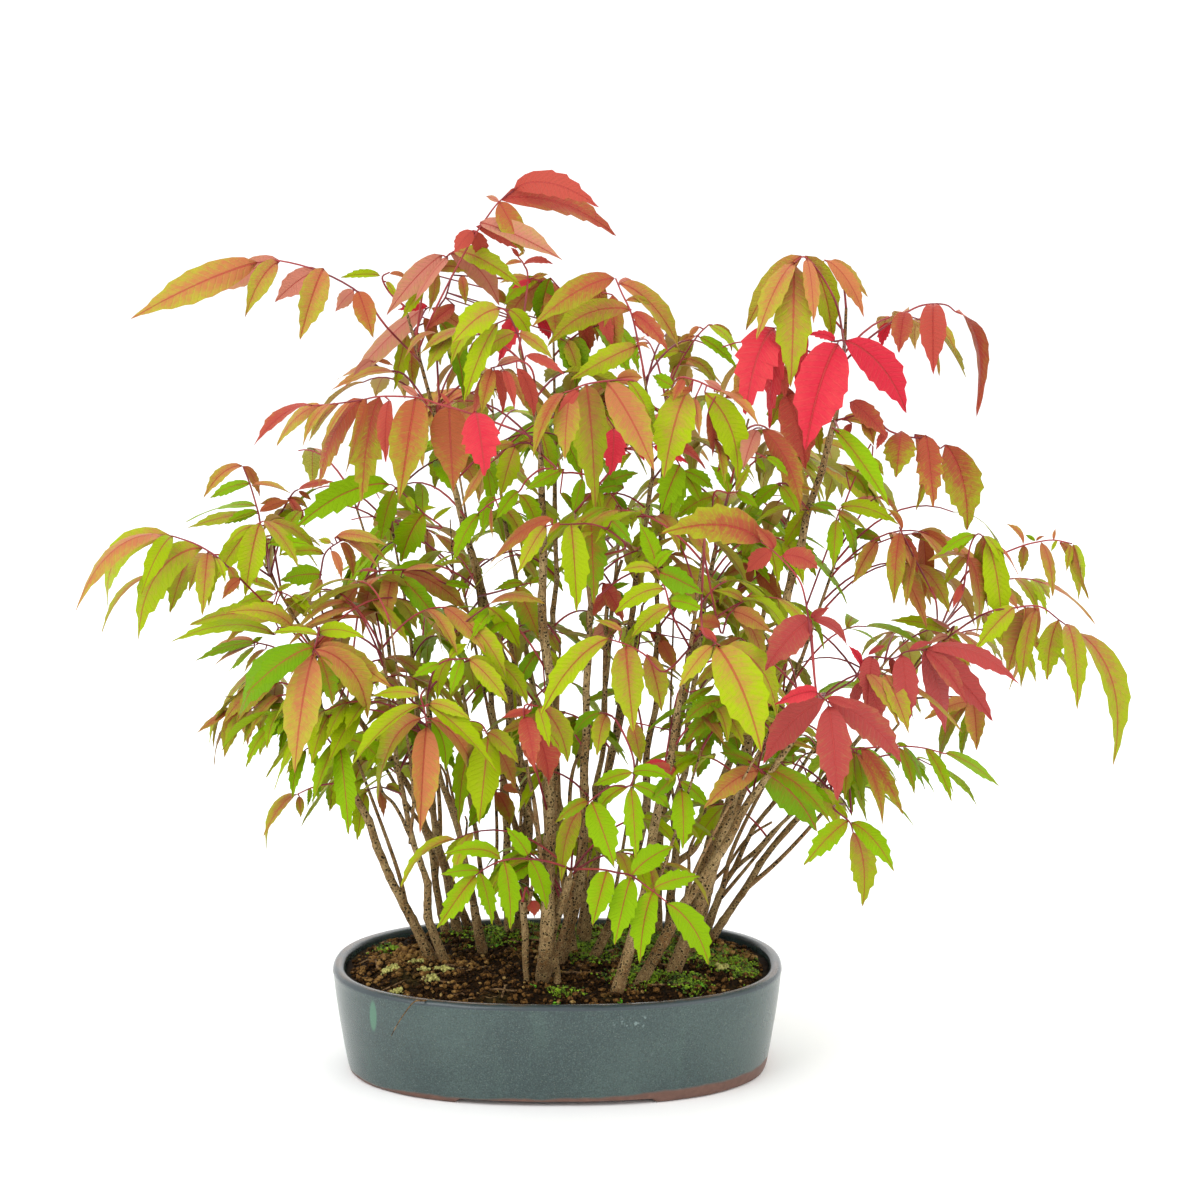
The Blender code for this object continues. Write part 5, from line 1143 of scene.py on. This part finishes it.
     "-3.2 424.3 -26.6 401.5 .5 O, -1.6 423.3 -0.1 392 .38 B, -10.6 404.7 -3.8 393 .6 S, 7.4 394.1 11.1 367.4 .62 D, -33.9 419.6 -25.5 411.1 .5 B"),
    ("16", -0.45, 15, "161.2 323.5, 168.7 320.2", "166.5 329.9 175.1 320.2 .4 L, 154.8 322.4 166.7 308.4 .4 D"),
    ("27", 0.5, 60, "-118.9 159.4, -123.2 156.1", "-120 156.1 -123.5 136.1 .35 D, -116.7 155 -112.7 131.6 .35 D, -125.4 155 -133.2 141.6 .3 D"),
)

# %% Table of front shoots
# Thin side shoot: its depth in mm from the pot's middle, its thickness in mm, and its line as x and z in
# mm on the same plane
FRONT_SHOOTS = (
    (2, 2.3, "-72.7 102.5, -74.8 110.9, -81.7 126, -84.4 132.7, -89.2 141.1, -94.6 146.6, -97.7 156.1, -100.9 160.5"),
    (66, 2, "-66 117.1, -67.1 122.7, -67.6 128.8, -68.6 136.6, -70.7 143.9, -72.8 150.5"),
    (6, 1.9, "-50.8 114.8, -53.5 123.2, -55 130.5, -57.1 141.1, -59.3 147.8, -60.3 156.1, -63.5 162.7"),
    (72, 1.6, "-50.8 117.1, -49.6 124.3, -49.1 130.5, -50.1 133.8"),
    (52, 2.2, "-21.3 120.4, -23.5 128.2, -24.6 135.5, -26.7 144.4, -27.7 152.8, -31 160.5"),
    (-22, 2.3, "-8.8 116, -10.4 124.3, -12.6 131.6, -18 141.6, -21.8 150, -26.1 158.3"),
    (-42, 2.9, "-7.3 98, -8.9 110.4, -10.4 124.3, -11.5 134.4, -13.1 145.5, -15.2 155.5, -16.8 165"),
    (-38, 2.4, "-16.6 78.9, -16 84.5, -14.4 89.6, -13.8 94.1, -11.6 98"),
    (10, 2.6, "8.6 121.5, 7 134.4, 7 146.6, 8.6 158.9, 12.5 170.5, 16.8 186"),
    (18, 1.7, "8 74.4, 9.1 84, 10.7 92.4, 12.9 99.1, 16.2 104.8"),
    (30, 2.2, "69.2 82.3, 70.8 92.4, 71.8 104.8, 71.8 113.7, 74.5 121.5, 78.8 130.5, 80.9 138.3"),
    (46, 2, "84.4 108.1, 84.8 117.1, 87 126, 88.5 136.1"),
    (40, 4.2, "51.7 91.3, 58.2 101.4, 66.9 109.2, 74 114.8, 79.9 124.9, 85.3 132.7, 89.6 142.7"),
    (60, 2.2, "77.9 83.4, 81.7 93.5, 89.8 102.5, 94.2 108.1, 101.7 119.3, 108.7 125.5, 116.9 130.5"),
    (36, 2.6, "38.6 95.8, 40.8 103.6, 42.9 117.1, 45.1 128.2, 48.3 136.1, 50.5 147.2"),
    (26, 3, "25.5 174.9, 26 194.8, 26 217.9, 27.1 248.6, 31.9 265, 35.1 274.8"),
    (30, 2.6, "-20 194.8, -22.1 209.2, -24.2 225.6, -27.3 238.8, -29.4 250.8"),
)

# %% Front leaves
TABLE_LEVEL = 3.6
EYE = np.array([POT_X + CAMERA_ASIDE, POT_Y - CAMERA_AWAY, CAMERA_HEIGHT])
LETTERS = {"S": "scarlet", "R": "rose", "B": "bronze", "P": "plum", "C": "copper", "O": "olive",
           "L": "lime", "G": "green", "D": "deep", "M": "mottled", "K": "crimson"}
TILT_ROOM, TILT_MOST, SLIMMEST, LEAST_TURNED = 1.05, 0.6, 0.25, 0.35


def sight(x, z, depth):
    """The point at a depth that is seen where (x, z) is on the plane through the pot's middle:
    eye + (point of the plane - eye) * (1 + depth / distance)."""
    flat = np.array([POT_X + x * MM, POT_Y, (z + TABLE_LEVEL) * MM])
    return EYE + (flat - EYE) * (1 + depth * MM / CAMERA_AWAY)


def seen(points):
    """The other way round: x, z and depth in mm of points in space."""
    away = points[:, 1] - EYE[1]
    flat = EYE + (points - EYE) * (CAMERA_AWAY / away)[:, None]
    return np.stack([flat[:, 0] - POT_X, flat[:, 2] - TABLE_LEVEL * MM, away - CAMERA_AWAY], -1) / MM


def along_line(line, share):
    """The point at a share of a line's rows."""
    place = share * (len(line) - 1)
    return np.array([np.interp(place, np.arange(len(line)), line[:, k]) for k in range(3)])


def front_leaf(start, depth, stalk_text, leaflet_text, rng):
    """A measured leaf: its stalk, its leaflets' own short stalks, and pose and tint of each leaflet.
    A leaflet that looks short is tilted, in turn towards the eye and away from it; one that looks
    narrow is turned about its own length, with its upper side up."""
    line = [sight(*map(float, place.split()), depth) for place in stalk_text.split(",")]
    stalk = smooth_path([start] + line, 6 + 3 * len(line))
    places = seen(stalk)
    leaflets = [group.split() for group in leaflet_text.split(",")]
    ends = np.array([[float(v) for v in group[:5]] for group in leaflets])
    looks = np.hypot(*(ends[:, 2:4] - ends[:, :2]).T)
    twigs, poses = [stalk], []
    for index, (foot_x, foot_z, tip_x, tip_z, wide) in enumerate(ends):
        nearest = np.argmin(np.hypot(places[:, 0] - foot_x, places[:, 1] - foot_z))
        near = places[nearest, 2]
        tilt = min(TILT_MOST * looks[index], math.sqrt(max((TILT_ROOM * looks.max()) ** 2 - looks[index] ** 2, 0)))
        foot = sight(foot_x, foot_z, near)
        reach = sight(tip_x, tip_z, near + (tilt if index % 2 else -tilt)) - foot
        length = np.linalg.norm(reach)
        heading = reach / length
        view = EYE - foot
        view = unit(view - heading * np.dot(view, heading))
        flank = np.cross(heading, view)
        side = np.sign(flank[2]) if abs(flank[2]) > 0.3 else rng.choice((-1, 1))
        look = wide * looks[index] * MM
        full = max(look, SLIMMEST * length)
        shown = max(look / full, LEAST_TURNED)
        face = view * shown + flank * side * math.sqrt(1 - shown ** 2)
        arched = float(leaflets[index][6]) if len(leaflets[index]) > 6 else ANY_ARCH
        poses.append((foot, heading, face, length, full / length, 0.0, arched))
        if np.linalg.norm(foot - stalk[nearest]) > 0.0012:
            twigs.append(smooth_path([stalk[nearest], foot], 4))
    return twigs, poses, [LETTERS[group[5]] for group in leaflets]

# %% Gaps in the crown
# Gap through which the background is seen: x and z in mm on the upright plane, and radius in mm
GAPS = (
    (-141, 328, 11), (-124, 298, 11), (-106, 299, 11), (-79, 279, 11), (-30, 275, 10), (80, 387, 10),
    (88, 379, 8), (53, 383, 10), (141, 218, 12), (153, 220, 7), (177, 263, 8), (192, 296, 10),
    (204, 296, 8), (-38, 122, 9), (-100, 369, 8), (-22, 341, 7), (95, 408, 6), (9, 204, 6), (45, 198, 7),
    (72, 195, 6),
    (-71, 91, 7), (-61, 84, 7), (-51, 78, 6), (-42, 86, 6), (-66, 99, 6),
)


def in_gap(pose):
    """Whether a leaflet would be seen in one of the gaps, at its lower part, its middle or its tip."""
    base, heading, _, length = pose[:4]
    spots = seen(np.array([base + heading * length * share for share in (0.3, 0.65, 0.95)]))
    return any(math.hypot(x - gap_x, z - gap_z) < reach for x, z, _ in spots for gap_x, gap_z, reach in GAPS)

# %% Grow the leaves
NEAR_CHANCE = 0.3
YOUNG_SHOOTS, YOUNG_RISE, YOUNG_SPREAD, YOUNG_THICK = 1, (0.080, 0.150), 0.16, (0.0010, 0.0017)
shoots, young, stalks, leaflets, tints = {}, [], [], [], []


def add_leaf(stalk, poses, thick, chosen):
    """Keep a stalk, thinning towards its tip, with its leaflets and their tints; free leaflets that
    would fill a gap are left out, and so is a stalk without any."""
    kept = [pair for pair in zip(poses, chosen) if pair[0][5] == 0 or not in_gap(pair[0])]
    if kept:
        stalks.append((stalk, np.linspace(thick, 0.6 * thick, len(stalk))))
        leaflets.extend(pose for pose, _ in kept)
        tints.extend(tint for _, tint in kept)


tint_rng = random.Random(SEED)
for name in FOLIAGE:
    shoot, girth, plans = leaf_plans(name)
    shoots[name[-2:]] = (smooth_path(shoot, 16), np.linspace(girth, girth * SHOOT_TAPER * 0.8, 16))
    for t, reach, pairs, size, hang, tint in plans:
        stalk = stalk_path(along_line(shoot, t), reach, STALK_ROWS)
        poses = leaflet_poses(stalk, pairs, size, hang)
        own = [tint_rng.choice(NEAR_TINTS[tint]) if tint_rng.random() < NEAR_CHANCE else tint for _ in poses]
        add_leaf(stalk, poses, STALK_THICK, own)
print(len(stalks), "leaves grown on the shoots")


def side_leaves(name, amount, rng):
    """Leaves that grow from the stem itself below its shoot, outwards, smaller and greener."""
    path, _ = paths[name]
    for _ in range(amount):
        base = along_line(path, rng.uniform(0.66, 0.98))
        bearing = math.radians(rng.uniform(*BEHIND))
        length = rng.uniform(22, 44) * MM
        reach = np.array([math.cos(bearing), math.sin(bearing), rng.uniform(0.1, 0.9)]) * length
        yield base, reach, rng.choice((1, 2, 2, 3)), rng.uniform(26, 40) * MM, rng.uniform(0.3, 0.8)


def young_shoot(name, rng):
    """A thin shoot that leaves its stem low down, leans out and then rises beside it."""
    path, radius = paths[name]
    place = rng.uniform(0.10, 0.55)
    start = along_line(path, place)
    tall = rng.uniform(*YOUNG_RISE)
    turn = rng.uniform(0, 2 * math.pi)
    away = np.array([math.cos(turn), math.sin(turn), 0]) * YOUNG_SPREAD * tall
    lean = (path[-1] - path[0]) / np.linalg.norm(path[-1] - path[0])
    line = [start, start + lean * tall * 0.3 + away * 0.55, start + lean * tall + away]
    thick = rng.uniform(*YOUNG_THICK)
    return smooth_path(line, 14), np.linspace(thick, 0.5 * thick, 14)


for depth, thick, line_text in FRONT_SHOOTS:
    line = [sight(*map(float, place.split()), depth) for place in line_text.split(",")]
    young.append((smooth_path(line, 6 * len(line)), np.linspace(0.55, 0.32, 6 * len(line)) * thick * MM))
for index, name in enumerate(STEMS):
    rng = random.Random(SEED * 300 + index)
    for _ in range(YOUNG_SHOOTS if "foliage_" + name[-2:] in FOLIAGE else 0):
        line, thick = young_shoot(name, rng)
        young.append((line, thick))
        bearing = math.radians(rng.uniform(*BEHIND))
        reach = np.array([math.cos(bearing), math.sin(bearing), 0.4]) * rng.uniform(25, 45) * MM
        stalk = stalk_path(line[-1], reach, STALK_ROWS)
        poses = leaflet_poses(stalk, rng.choice((1, 2)), rng.uniform(28, 42) * MM, rng.uniform(0.3, 0.8))
        add_leaf(stalk, poses, STALK_THICK, [rng.choice(("lime", "green", "olive", "deep"))] * len(poses))
print(len(young), "young shoots")

for index, name in enumerate(STEMS):
    rng = random.Random(SEED * 100 + index)
    own = FOLIAGE.get("foliage_" + name[-2:], ("", (), "green", ()))[2]
    for base, reach, pairs, size, hang in side_leaves(name, SIDE_LEAVES, rng):
        stalk = stalk_path(base, reach, STALK_ROWS)
        tint = rng.choice(("lime", "green", "olive", own if own != "scarlet" else "copper"))
        poses = leaflet_poses(stalk, pairs, size, hang)
        add_leaf(stalk, poses, STALK_THICK, [tint] * len(poses))
print(len(stalks), "with those on the stems")

front_rng = random.Random(SEED)
for stem, share, depth, stalk_text, leaflet_text in FRONT_LEAVES:
    line = shoots[stem][0] if share >= 0 else paths["stem_" + stem][0]
    start = along_line(line, abs(share))
    twigs, poses, chosen = front_leaf(start, depth, stalk_text, leaflet_text, front_rng)
    add_leaf(twigs[0], poses, STALK_THICK, chosen)
    stalks.extend((twig, np.full(len(twig), 0.6 * STALK_THICK)) for twig in twigs[1:])
print(len(FRONT_LEAVES), "front leaves, in all", len(leaflets), "leaflets")

# %% [markdown]
# ## Shoots and stalks
#
# The young shoots are woody and take the bark's colours. The leaf stalks are smooth, thin and dark
# red, and the red is what the eye follows through the crown.

# %% Shoots and stalks
def stalk_material():
    material, tree, shader, place = new_material("red_stalk", 0.45)
    colour = blend(tree, rise(tree, noise(tree, place, 30.0, 2.0), 0.4, 0.6), tone(112, 22, 36), tone(156, 52, 52))
    tree.links.new(colour, shader.inputs["Base Color"])
    emboss(tree, shader, noise(tree, place, 900.0, 2.0), 0.2, 0.0002)
    return material


young_bark = bark_material("young_bark", tone(130, 94, 60), tone(158, 128, 90), tone(92, 56, 36), tone(94, 62, 36))
points, quads, caps = tube_arrays(list(shoots.values()) + young, 10)
dress(put_mesh("shoots", points, quads, caps), young_bark, list(FOLIAGE))
points, quads, caps = tube_arrays(stalks, 6)
dress(put_mesh("leaf_stalks", points, quads, caps), stalk_material())

# %% [markdown]
# ## The blade of a leaflet
#
# One leaflet is a thin closed shell of 53 faces. Fourteen stations run from its base to its tip. At
# each there are an edge on either side, a midrib on top and one below, and the two skins share the
# edges. Its outline is a sine stretched so that it is widest below the middle, drawn out to a point,
# with the edge pushed out and forward at every other station past the first third, which makes the
# coarse teeth. The midrib arches over, and the blade folds along it. All of the leaflets are worked
# out at once: every quantity is an array of one value a leaflet by one value a point.

# %% Leaflet surface
STATIONS = 14
WIDEST = 0.42
ARCH_FACE, ARCH_UP, BULGE = 0.5, 0.9, (0.05, 0.19)
FOLD = (-0.30, 0.48)
TOOTH_LEAN = 0.26
TILES = 4


def blade_template():
    """Along, side and under values of a leaflet's points, and its quads and triangles."""
    t = np.linspace(0, 1, STATIONS)
    along = np.append(np.repeat(t[:-1], 4), 1.0)
    side = np.append(np.tile([-1.0, 0.0, 1.0, 0.0], STATIONS - 1), 0.0)
    under = np.append(np.tile([0.0, 0.0, 0.0, 1.0], STATIONS - 1), 0.0)
    station = 4 * np.arange(STATIONS - 2)[:, None]
    left, top, right, keel = (station + k for k in range(4))
    upper = [np.hstack([left, top, top + 4, left + 4]), np.hstack([top, right, right + 4, top + 4])]
    lower = [np.hstack([left, left + 4, keel + 4, keel]), np.hstack([keel, keel + 4, right + 4, right])]
    last = 4 * (STATIONS - 2)
    tip = 4 * (STATIONS - 1)
    ends = np.array([(last, last + 1, tip), (last + 1, last + 2, tip), (last + 3, last, tip),
                     (last + 2, last + 3, tip)])
    quads = np.vstack(upper + lower + [np.array([[0, 3, 2, 1]])])
    below = np.concatenate([np.zeros(2 * (STATIONS - 2)), np.ones(2 * (STATIONS - 2) + 1)])
    return along, side, under, quads, below, ends, np.array([0.0, 0.0, 1.0, 1.0])


def outline(t):
    """Half width as a share of the greatest: a stretched sine with a drawn-out tip and a narrow base."""
    bow = np.sin(math.pi * np.clip(t, 0, 1) ** (math.log(0.5) / math.log(WIDEST)))
    return np.maximum(bow ** 0.74 * (1 - 0.60 * smoothstep(0.55, 1.0, t)), 0.03)


def square_to(vectors, heading):
    """Unit vectors square to a heading: vector - heading * (vector . heading)."""
    return unit(vectors - heading * np.sum(vectors * heading, axis=-1, keepdims=True))


def midribs(base, heading, face, arch, length, bulge, twist):
    """Points, directions, flanks and upper sides at every station. A midrib runs along its heading and
    stands off it by bulge * length * 4s(1 - s) on the arch side, with s = t^0.85, highest before the
    middle. The flank turns about the midrib by twist * t."""
    t = np.linspace(0, 1, STATIONS)[None, :, None]
    s = t ** 0.85
    base, heading, arch = base[:, None], heading[:, None], arch[:, None]
    length, bulge, twist = (v[:, None, None] for v in (length, bulge, twist))
    rib = base + length * (heading * t + arch * bulge * 4 * s * (1 - s))
    ahead = unit(np.gradient(rib, axis=1))
    flank = unit(np.cross(ahead, np.broadcast_to(face[:, None], ahead.shape)))
    upper = np.cross(flank, ahead)
    c, d = np.cos(twist * t), np.sin(twist * t)
    return rib, ahead, flank * c + upper * d, upper * c - flank * d


def blades(poses, width, teeth, rng):
    """Points (leaflets, 53, 3): midrib + flank * side * half width * outline * (1 + teeth), lifted by
    a fold along the midrib and a wave along the edge. Teeth start past the first third and lean
    forward."""
    base, heading, face, length, own, free, arched = (np.array([pose[k] for pose in poses], float) for k in range(7))
    n = len(length)
    heading = unit(heading + free[:, None] * rng.normal(0, 0.10, (n, 3)))
    face = square_to(face + (0.3 + 0.7 * free)[:, None] * rng.normal(0, 0.20, (n, 3)), heading)
    lifted = square_to(np.broadcast_to((0.0, 0.0, 1.0), heading.shape), heading)
    arch = face * ARCH_FACE + lifted * ARCH_UP + rng.normal(0, 0.16, (n, 3))
    length = length * (1 + free * rng.uniform(-0.14, 0.05, n))
    bulge = rng.uniform(*BULGE, n) * (0.8 + 0.2 * free)
    bulge = np.where(arched >= 0, arched, bulge)
    rib, ahead, flank, upper = midribs(base, heading, face, square_to(arch, heading), length, bulge,
                                       rng.normal(0, 0.30, n))
    along, side, under = (v[None] for v in TEMPLATE[:3])
    half = (length / 2 * np.where(own > 0, 0.96 * own, width * rng.uniform(0.80, 1.10, n)))[:, None]
    teeth = teeth * rng.uniform(0.6, 1.3, n)[:, None] * smoothstep(0.15, 0.4, along)
    fold = rng.uniform(*FOLD, n)[:, None]
    wave = (rng.uniform(0.0, 0.014, n) * length)[:, None] * np.sin(9 * along + rng.uniform(0, 6.3, (n, 1)))
    row = np.round(along[0] * (STATIONS - 1)).astype(int)
    tooth = ((row + (side > 0)) % 2) * (np.abs(side) > 0.5) * (along < 0.97)
    wide = outline(along)
    across = side * half * wide * (1 + teeth * (tooth - 0.35))
    lift = fold * np.abs(side) * half * wide + wave * side - under * 0.010 * length[:, None] * (1 - 0.6 * along)
    forward = TOOTH_LEAN * tooth * teeth * length[:, None]
    parts = ((flank, across), (upper, lift), (ahead, forward))
    return rib[:, row] + sum(way[:, row] * amount[..., None] for way, amount in parts)


def blade_uv(faces, below, tile):
    """Map of a leaflet's faces into its tile of a 4 by 4 sheet: upper skin on the left half, lower on
    the right; u follows the side, v the length."""
    along, side = TEMPLATE[0], TEMPLATE[1]
    u = (side * outline(along))[faces]
    v = along[faces]
    column = 2 * (tile % TILES)[:, None, None] + below[None, :, None]
    row = (tile // TILES)[:, None, None] + 0 * below[None, :, None]
    return np.stack([(column + 0.5 + 0.45 * u[None]) / (2 * TILES), (row + 0.03 + 0.94 * v[None]) / TILES], -1)


def crease(mesh, step):
    """Mark the outline and the midrib sharp, so that each half of a blade is shaded by itself."""
    pairs = np.empty(2 * len(mesh.edges), np.int32)
    mesh.edges.foreach_get("vertices", pairs)
    one, two = (pairs.reshape(-1, 2) % step).T
    tip = step - 1
    lengthwise = (one % 4 == two % 4) | (one == tip) | (two == tip)
    sharp = mesh.attributes.new("sharp_edge", "BOOLEAN", "EDGE")
    sharp.data.foreach_set("value", lengthwise)


TEMPLATE = blade_template()


def put_blades(name, poses, width, teeth, seed):
    """A piece of many leaflets of one tint, each with a tile of the sheet picked at random."""
    rng = np.random.default_rng(seed)
    points = blades(poses, width, teeth, rng)
    n = len(poses)
    step = 4 * (STATIONS - 1) + 1
    quads = (TEMPLATE[3][None] + step * np.arange(n)[:, None, None]).reshape(-1, 4)
    ends = (TEMPLATE[5][None] + step * np.arange(n)[:, None, None]).reshape(-1, 3)
    item = put_mesh(name, points.reshape(-1, 3), quads, ends)
    crease(item.data, step)
    tile = rng.integers(0, TILES * TILES, n)
    uv = [blade_uv(TEMPLATE[3], TEMPLATE[4], tile), blade_uv(TEMPLATE[5], TEMPLATE[6], tile)]
    layer = item.data.uv_layers.new(name="OFBake")
    layer.data.foreach_set("uv", np.concatenate([part.reshape(-1) for part in uv]).astype(np.float32))
    return item

# %% [markdown]
# ## Autumn tints
#
# In autumn the green fades first between the veins and at the tips, and reds and bronzes take over.
# The upper side colours more than the underside, which stays paler. The material reads the leaflet's
# own map: across it gives the midrib and the edges, along it gives the tip, and a noise over the
# sheet makes each of the sixteen tiles a leaflet of its own. The base colours are dealt out by spray.

# %% Leaf materials
# Tint: blade, blush, how much of the blade blushes from 0 to 1, how much less the tip does, underside,
# width to length, teeth
TINTS = {
    "scarlet": ((206, 62, 66), (194, 38, 58), 0.60, 0.0, (210, 92, 84), 0.44, 0.19),
    "rose": ((166, 122, 54), (166, 60, 52), 0.82, 0.2, (184, 112, 88), 0.31, 0.13),
    "crimson": ((160, 108, 62), (160, 56, 56), 0.86, 0.2, (186, 104, 94), 0.32, 0.13),
    "bronze": ((146, 156, 16), (166, 80, 52), 0.71, 0.7, (184, 142, 76), 0.36, 0.06),
    "plum": ((176, 146, 82), (186, 112, 96), 0.76, 0.3, (196, 142, 110), 0.29, 0.07),
    "copper": ((164, 166, 40), (180, 102, 68), 0.64, 0.4, (190, 156, 84), 0.29, 0.10),
    "olive": ((148, 162, 14), (166, 98, 64), 0.50, 0.5, (170, 168, 62), 0.29, 0.13),
    "lime": ((150, 172, 6), (170, 116, 64), 0.29, 0.3, (162, 174, 44), 0.30, 0.15),
    "green": ((128, 166, 0), (156, 118, 40), 0.22, 0.2, (150, 174, 38), 0.31, 0.18),
    "deep": ((108, 150, 0), (150, 98, 40), 0.32, 0.2, (130, 162, 34), 0.30, 0.16),
    "mottled": ((150, 164, 12), (160, 66, 52), 0.66, 0.6, (178, 144, 70), 0.36, 0.21),
}
VEINS = 19.0
RIB = tone(168, 60, 56)


def leaf_material(name, blade, blush, cover, fade, under):
    """The blush starts at the midrib and the base and breaks up into a cloud towards the green edge.
    It lies between the side veins, which stay the colour of the blade."""
    material, tree, shader, _ = new_material("leaf_" + name, 0.52)
    shader.inputs["Specular IOR Level"].default_value = 0.05 + 0.22 * cover
    uv = wire(tree, "UVMap", uv_map="OFBake")
    parts = wire(tree, "SeparateXYZ", uv).node.outputs
    column = calc(tree, "MULTIPLY", parts[0], 2.0 * TILES)
    row = calc(tree, "MULTIPLY", parts[1], 1.0 * TILES)
    column_start = calc(tree, "FLOOR", column)
    row_start = calc(tree, "FLOOR", row)
    below = calc(tree, "MODULO", column_start, 2.0)
    middle = calc(tree, "SUBTRACT", calc(tree, "SUBTRACT", column, column_start), 0.5)
    side = calc(tree, "MULTIPLY", calc(tree, "ABSOLUTE", middle), 2.2)
    along = calc(tree, "SUBTRACT", row, row_start)
    tile = wire(tree, "CombineXYZ", calc(tree, "SUBTRACT", column_start, below), row_start, 1.0)
    chance = wire(tree, "TexWhiteNoise", tile, noise_dimensions="3D").node.outputs["Value"]
    cloud = noise(tree, uv, 44.0, 8.0, 0.78)
    grain = noise(tree, uv, 260.0, 3.0, 0.6)
    slant = calc(tree, "MULTIPLY_ADD", side, -0.09, along)
    slant = calc(tree, "MULTIPLY_ADD", cloud, 0.05, slant)
    comb = calc(tree, "FRACT", calc(tree, "MULTIPLY", slant, VEINS))
    vein = rise(tree, calc(tree, "ABSOLUTE", calc(tree, "SUBTRACT", comb, 0.5)), 0.20, 0.02)
    inner = calc(tree, "MULTIPLY_ADD", side, -0.40, 0.75)
    inner = calc(tree, "MULTIPLY_ADD", along, -0.15 - fade, inner)
    inner = calc(tree, "MULTIPLY_ADD", cloud, 1.4, inner)
    inner = calc(tree, "MULTIPLY_ADD", chance, 0.50, inner)
    inner = calc(tree, "MULTIPLY_ADD", vein, -0.12, inner)
    inner = calc(tree, "MULTIPLY_ADD", grain, 0.40, inner)
    start = 1.74 - 0.5 * fade - 1.1 * cover
    blushed = rise(tree, inner, start, start + 0.80)
    colour = blend(tree, calc(tree, "MULTIPLY", blushed, 0.95), tone(*blade), tone(*blush))
    light = calc(tree, "MULTIPLY_ADD", chance, 0.16, 0.84)
    light = calc(tree, "MULTIPLY_ADD", grain, 0.20, light)
    shade = wire(tree, "CombineXYZ", light, light, light)
    colour = blend(tree, 1.0, colour, shade, "MULTIPLY")
    colour = blend(tree, calc(tree, "MULTIPLY", vein, 0.10), colour, tone(*under))
    colour = blend(tree, calc(tree, "MULTIPLY", below, 0.70), colour, tone(*under))
    rib = rise(tree, calc(tree, "MULTIPLY_ADD", along, 0.03, side), 0.075, 0.035)
    colour = blend(tree, calc(tree, "MULTIPLY", rib, 0.70), colour, RIB)
    tree.links.new(colour, shader.inputs["Base Color"])
    height = calc(tree, "ADD", calc(tree, "MULTIPLY", vein, -0.6), calc(tree, "MULTIPLY", cloud, 0.8))
    height = calc(tree, "ADD", height, calc(tree, "MULTIPLY", rib, -1.2))
    emboss(tree, shader, height, 0.55, 0.0006)
    return material


for index, (tint, (blade, blush, cover, fade, under, width, teeth)) in enumerate(TINTS.items()):
    chosen = [pose for pose, own in zip(leaflets, tints) if own == tint]
    piece = put_blades("leaflets_" + tint, chosen, width, teeth, SEED + index)
    dress(piece, leaf_material(tint, blade, blush, cover, fade, under))

# %% [markdown]
# ## Floor, camera and light
#
# The plant was photographed against white from a little above the pot, with a long lens, in soft
# light from all round. A large pale floor, a white world and three broad lamps give that. The
# camera's height, tilt and lens were worked out from the ellipse of the pot's rim and the slope of
# its sides, and its place is told from the pot's middle.

# %% Floor
def pale_floor():
    material, tree, shader, place = new_material("pale_floor", 0.9)
    colour = blend(tree, noise(tree, place, 3.0, 2.0), tone(250, 250, 250), tone(255, 255, 255))
    tree.links.new(colour, shader.inputs["Base Color"])
    return material


FLOOR_HALF = 6.0
corners = np.array([(-1, -1, 0), (1, -1, 0), (1, 1, 0), (-1, 1, 0)]) * FLOOR_HALF
floor = put_mesh("floor", corners - (0, 0, 0.0001), np.array([[0, 1, 2, 3]]))
floor.data.materials.append(pale_floor())

# %% Camera
camera_data = bpy.data.cameras.new("camera")
camera = bpy.data.objects.new("camera", camera_data)
bpy.context.scene.collection.objects.link(camera)
camera.location = (POT_X + CAMERA_ASIDE, POT_Y - CAMERA_AWAY, CAMERA_HEIGHT)
camera.rotation_euler = (math.pi / 2 - CAMERA_TILT, 0, 0)
camera_data.sensor_width = 36
camera_data.lens = LENS
bpy.context.scene.camera = camera

# %% Light
def soft_lamp(name, place, size, watts, aim=(0, 0, 0.22)):
    """A square area lamp that looks at the crown."""
    data = bpy.data.lights.new(name, "AREA")
    data.size = size
    data.energy = watts
    lamp = bpy.data.objects.new(name, data)
    bpy.context.scene.collection.objects.link(lamp)
    lamp.location = place
    ahead = np.array(aim) - np.array(place)
    lamp.rotation_euler = (math.acos(-ahead[2] / np.linalg.norm(ahead)), 0, math.atan2(ahead[0], -ahead[1]) + math.pi)
    return lamp


soft_lamp("key", (-1.3, -1.4, 1.7), 1.5, 20)
soft_lamp("fill", (1.5, -1.2, 1.0), 1.8, 8)
soft_lamp("back", (0.3, 1.6, 1.5), 1.6, 12)
world = bpy.data.worlds.new("white")
bpy.context.scene.world = world
world.use_nodes = True
world.node_tree.nodes["Background"].inputs["Color"].default_value = (1, 1, 1, 1)
world.node_tree.nodes["Background"].inputs["Strength"].default_value = 1.22
bpy.context.scene.view_settings.view_transform = "Standard"
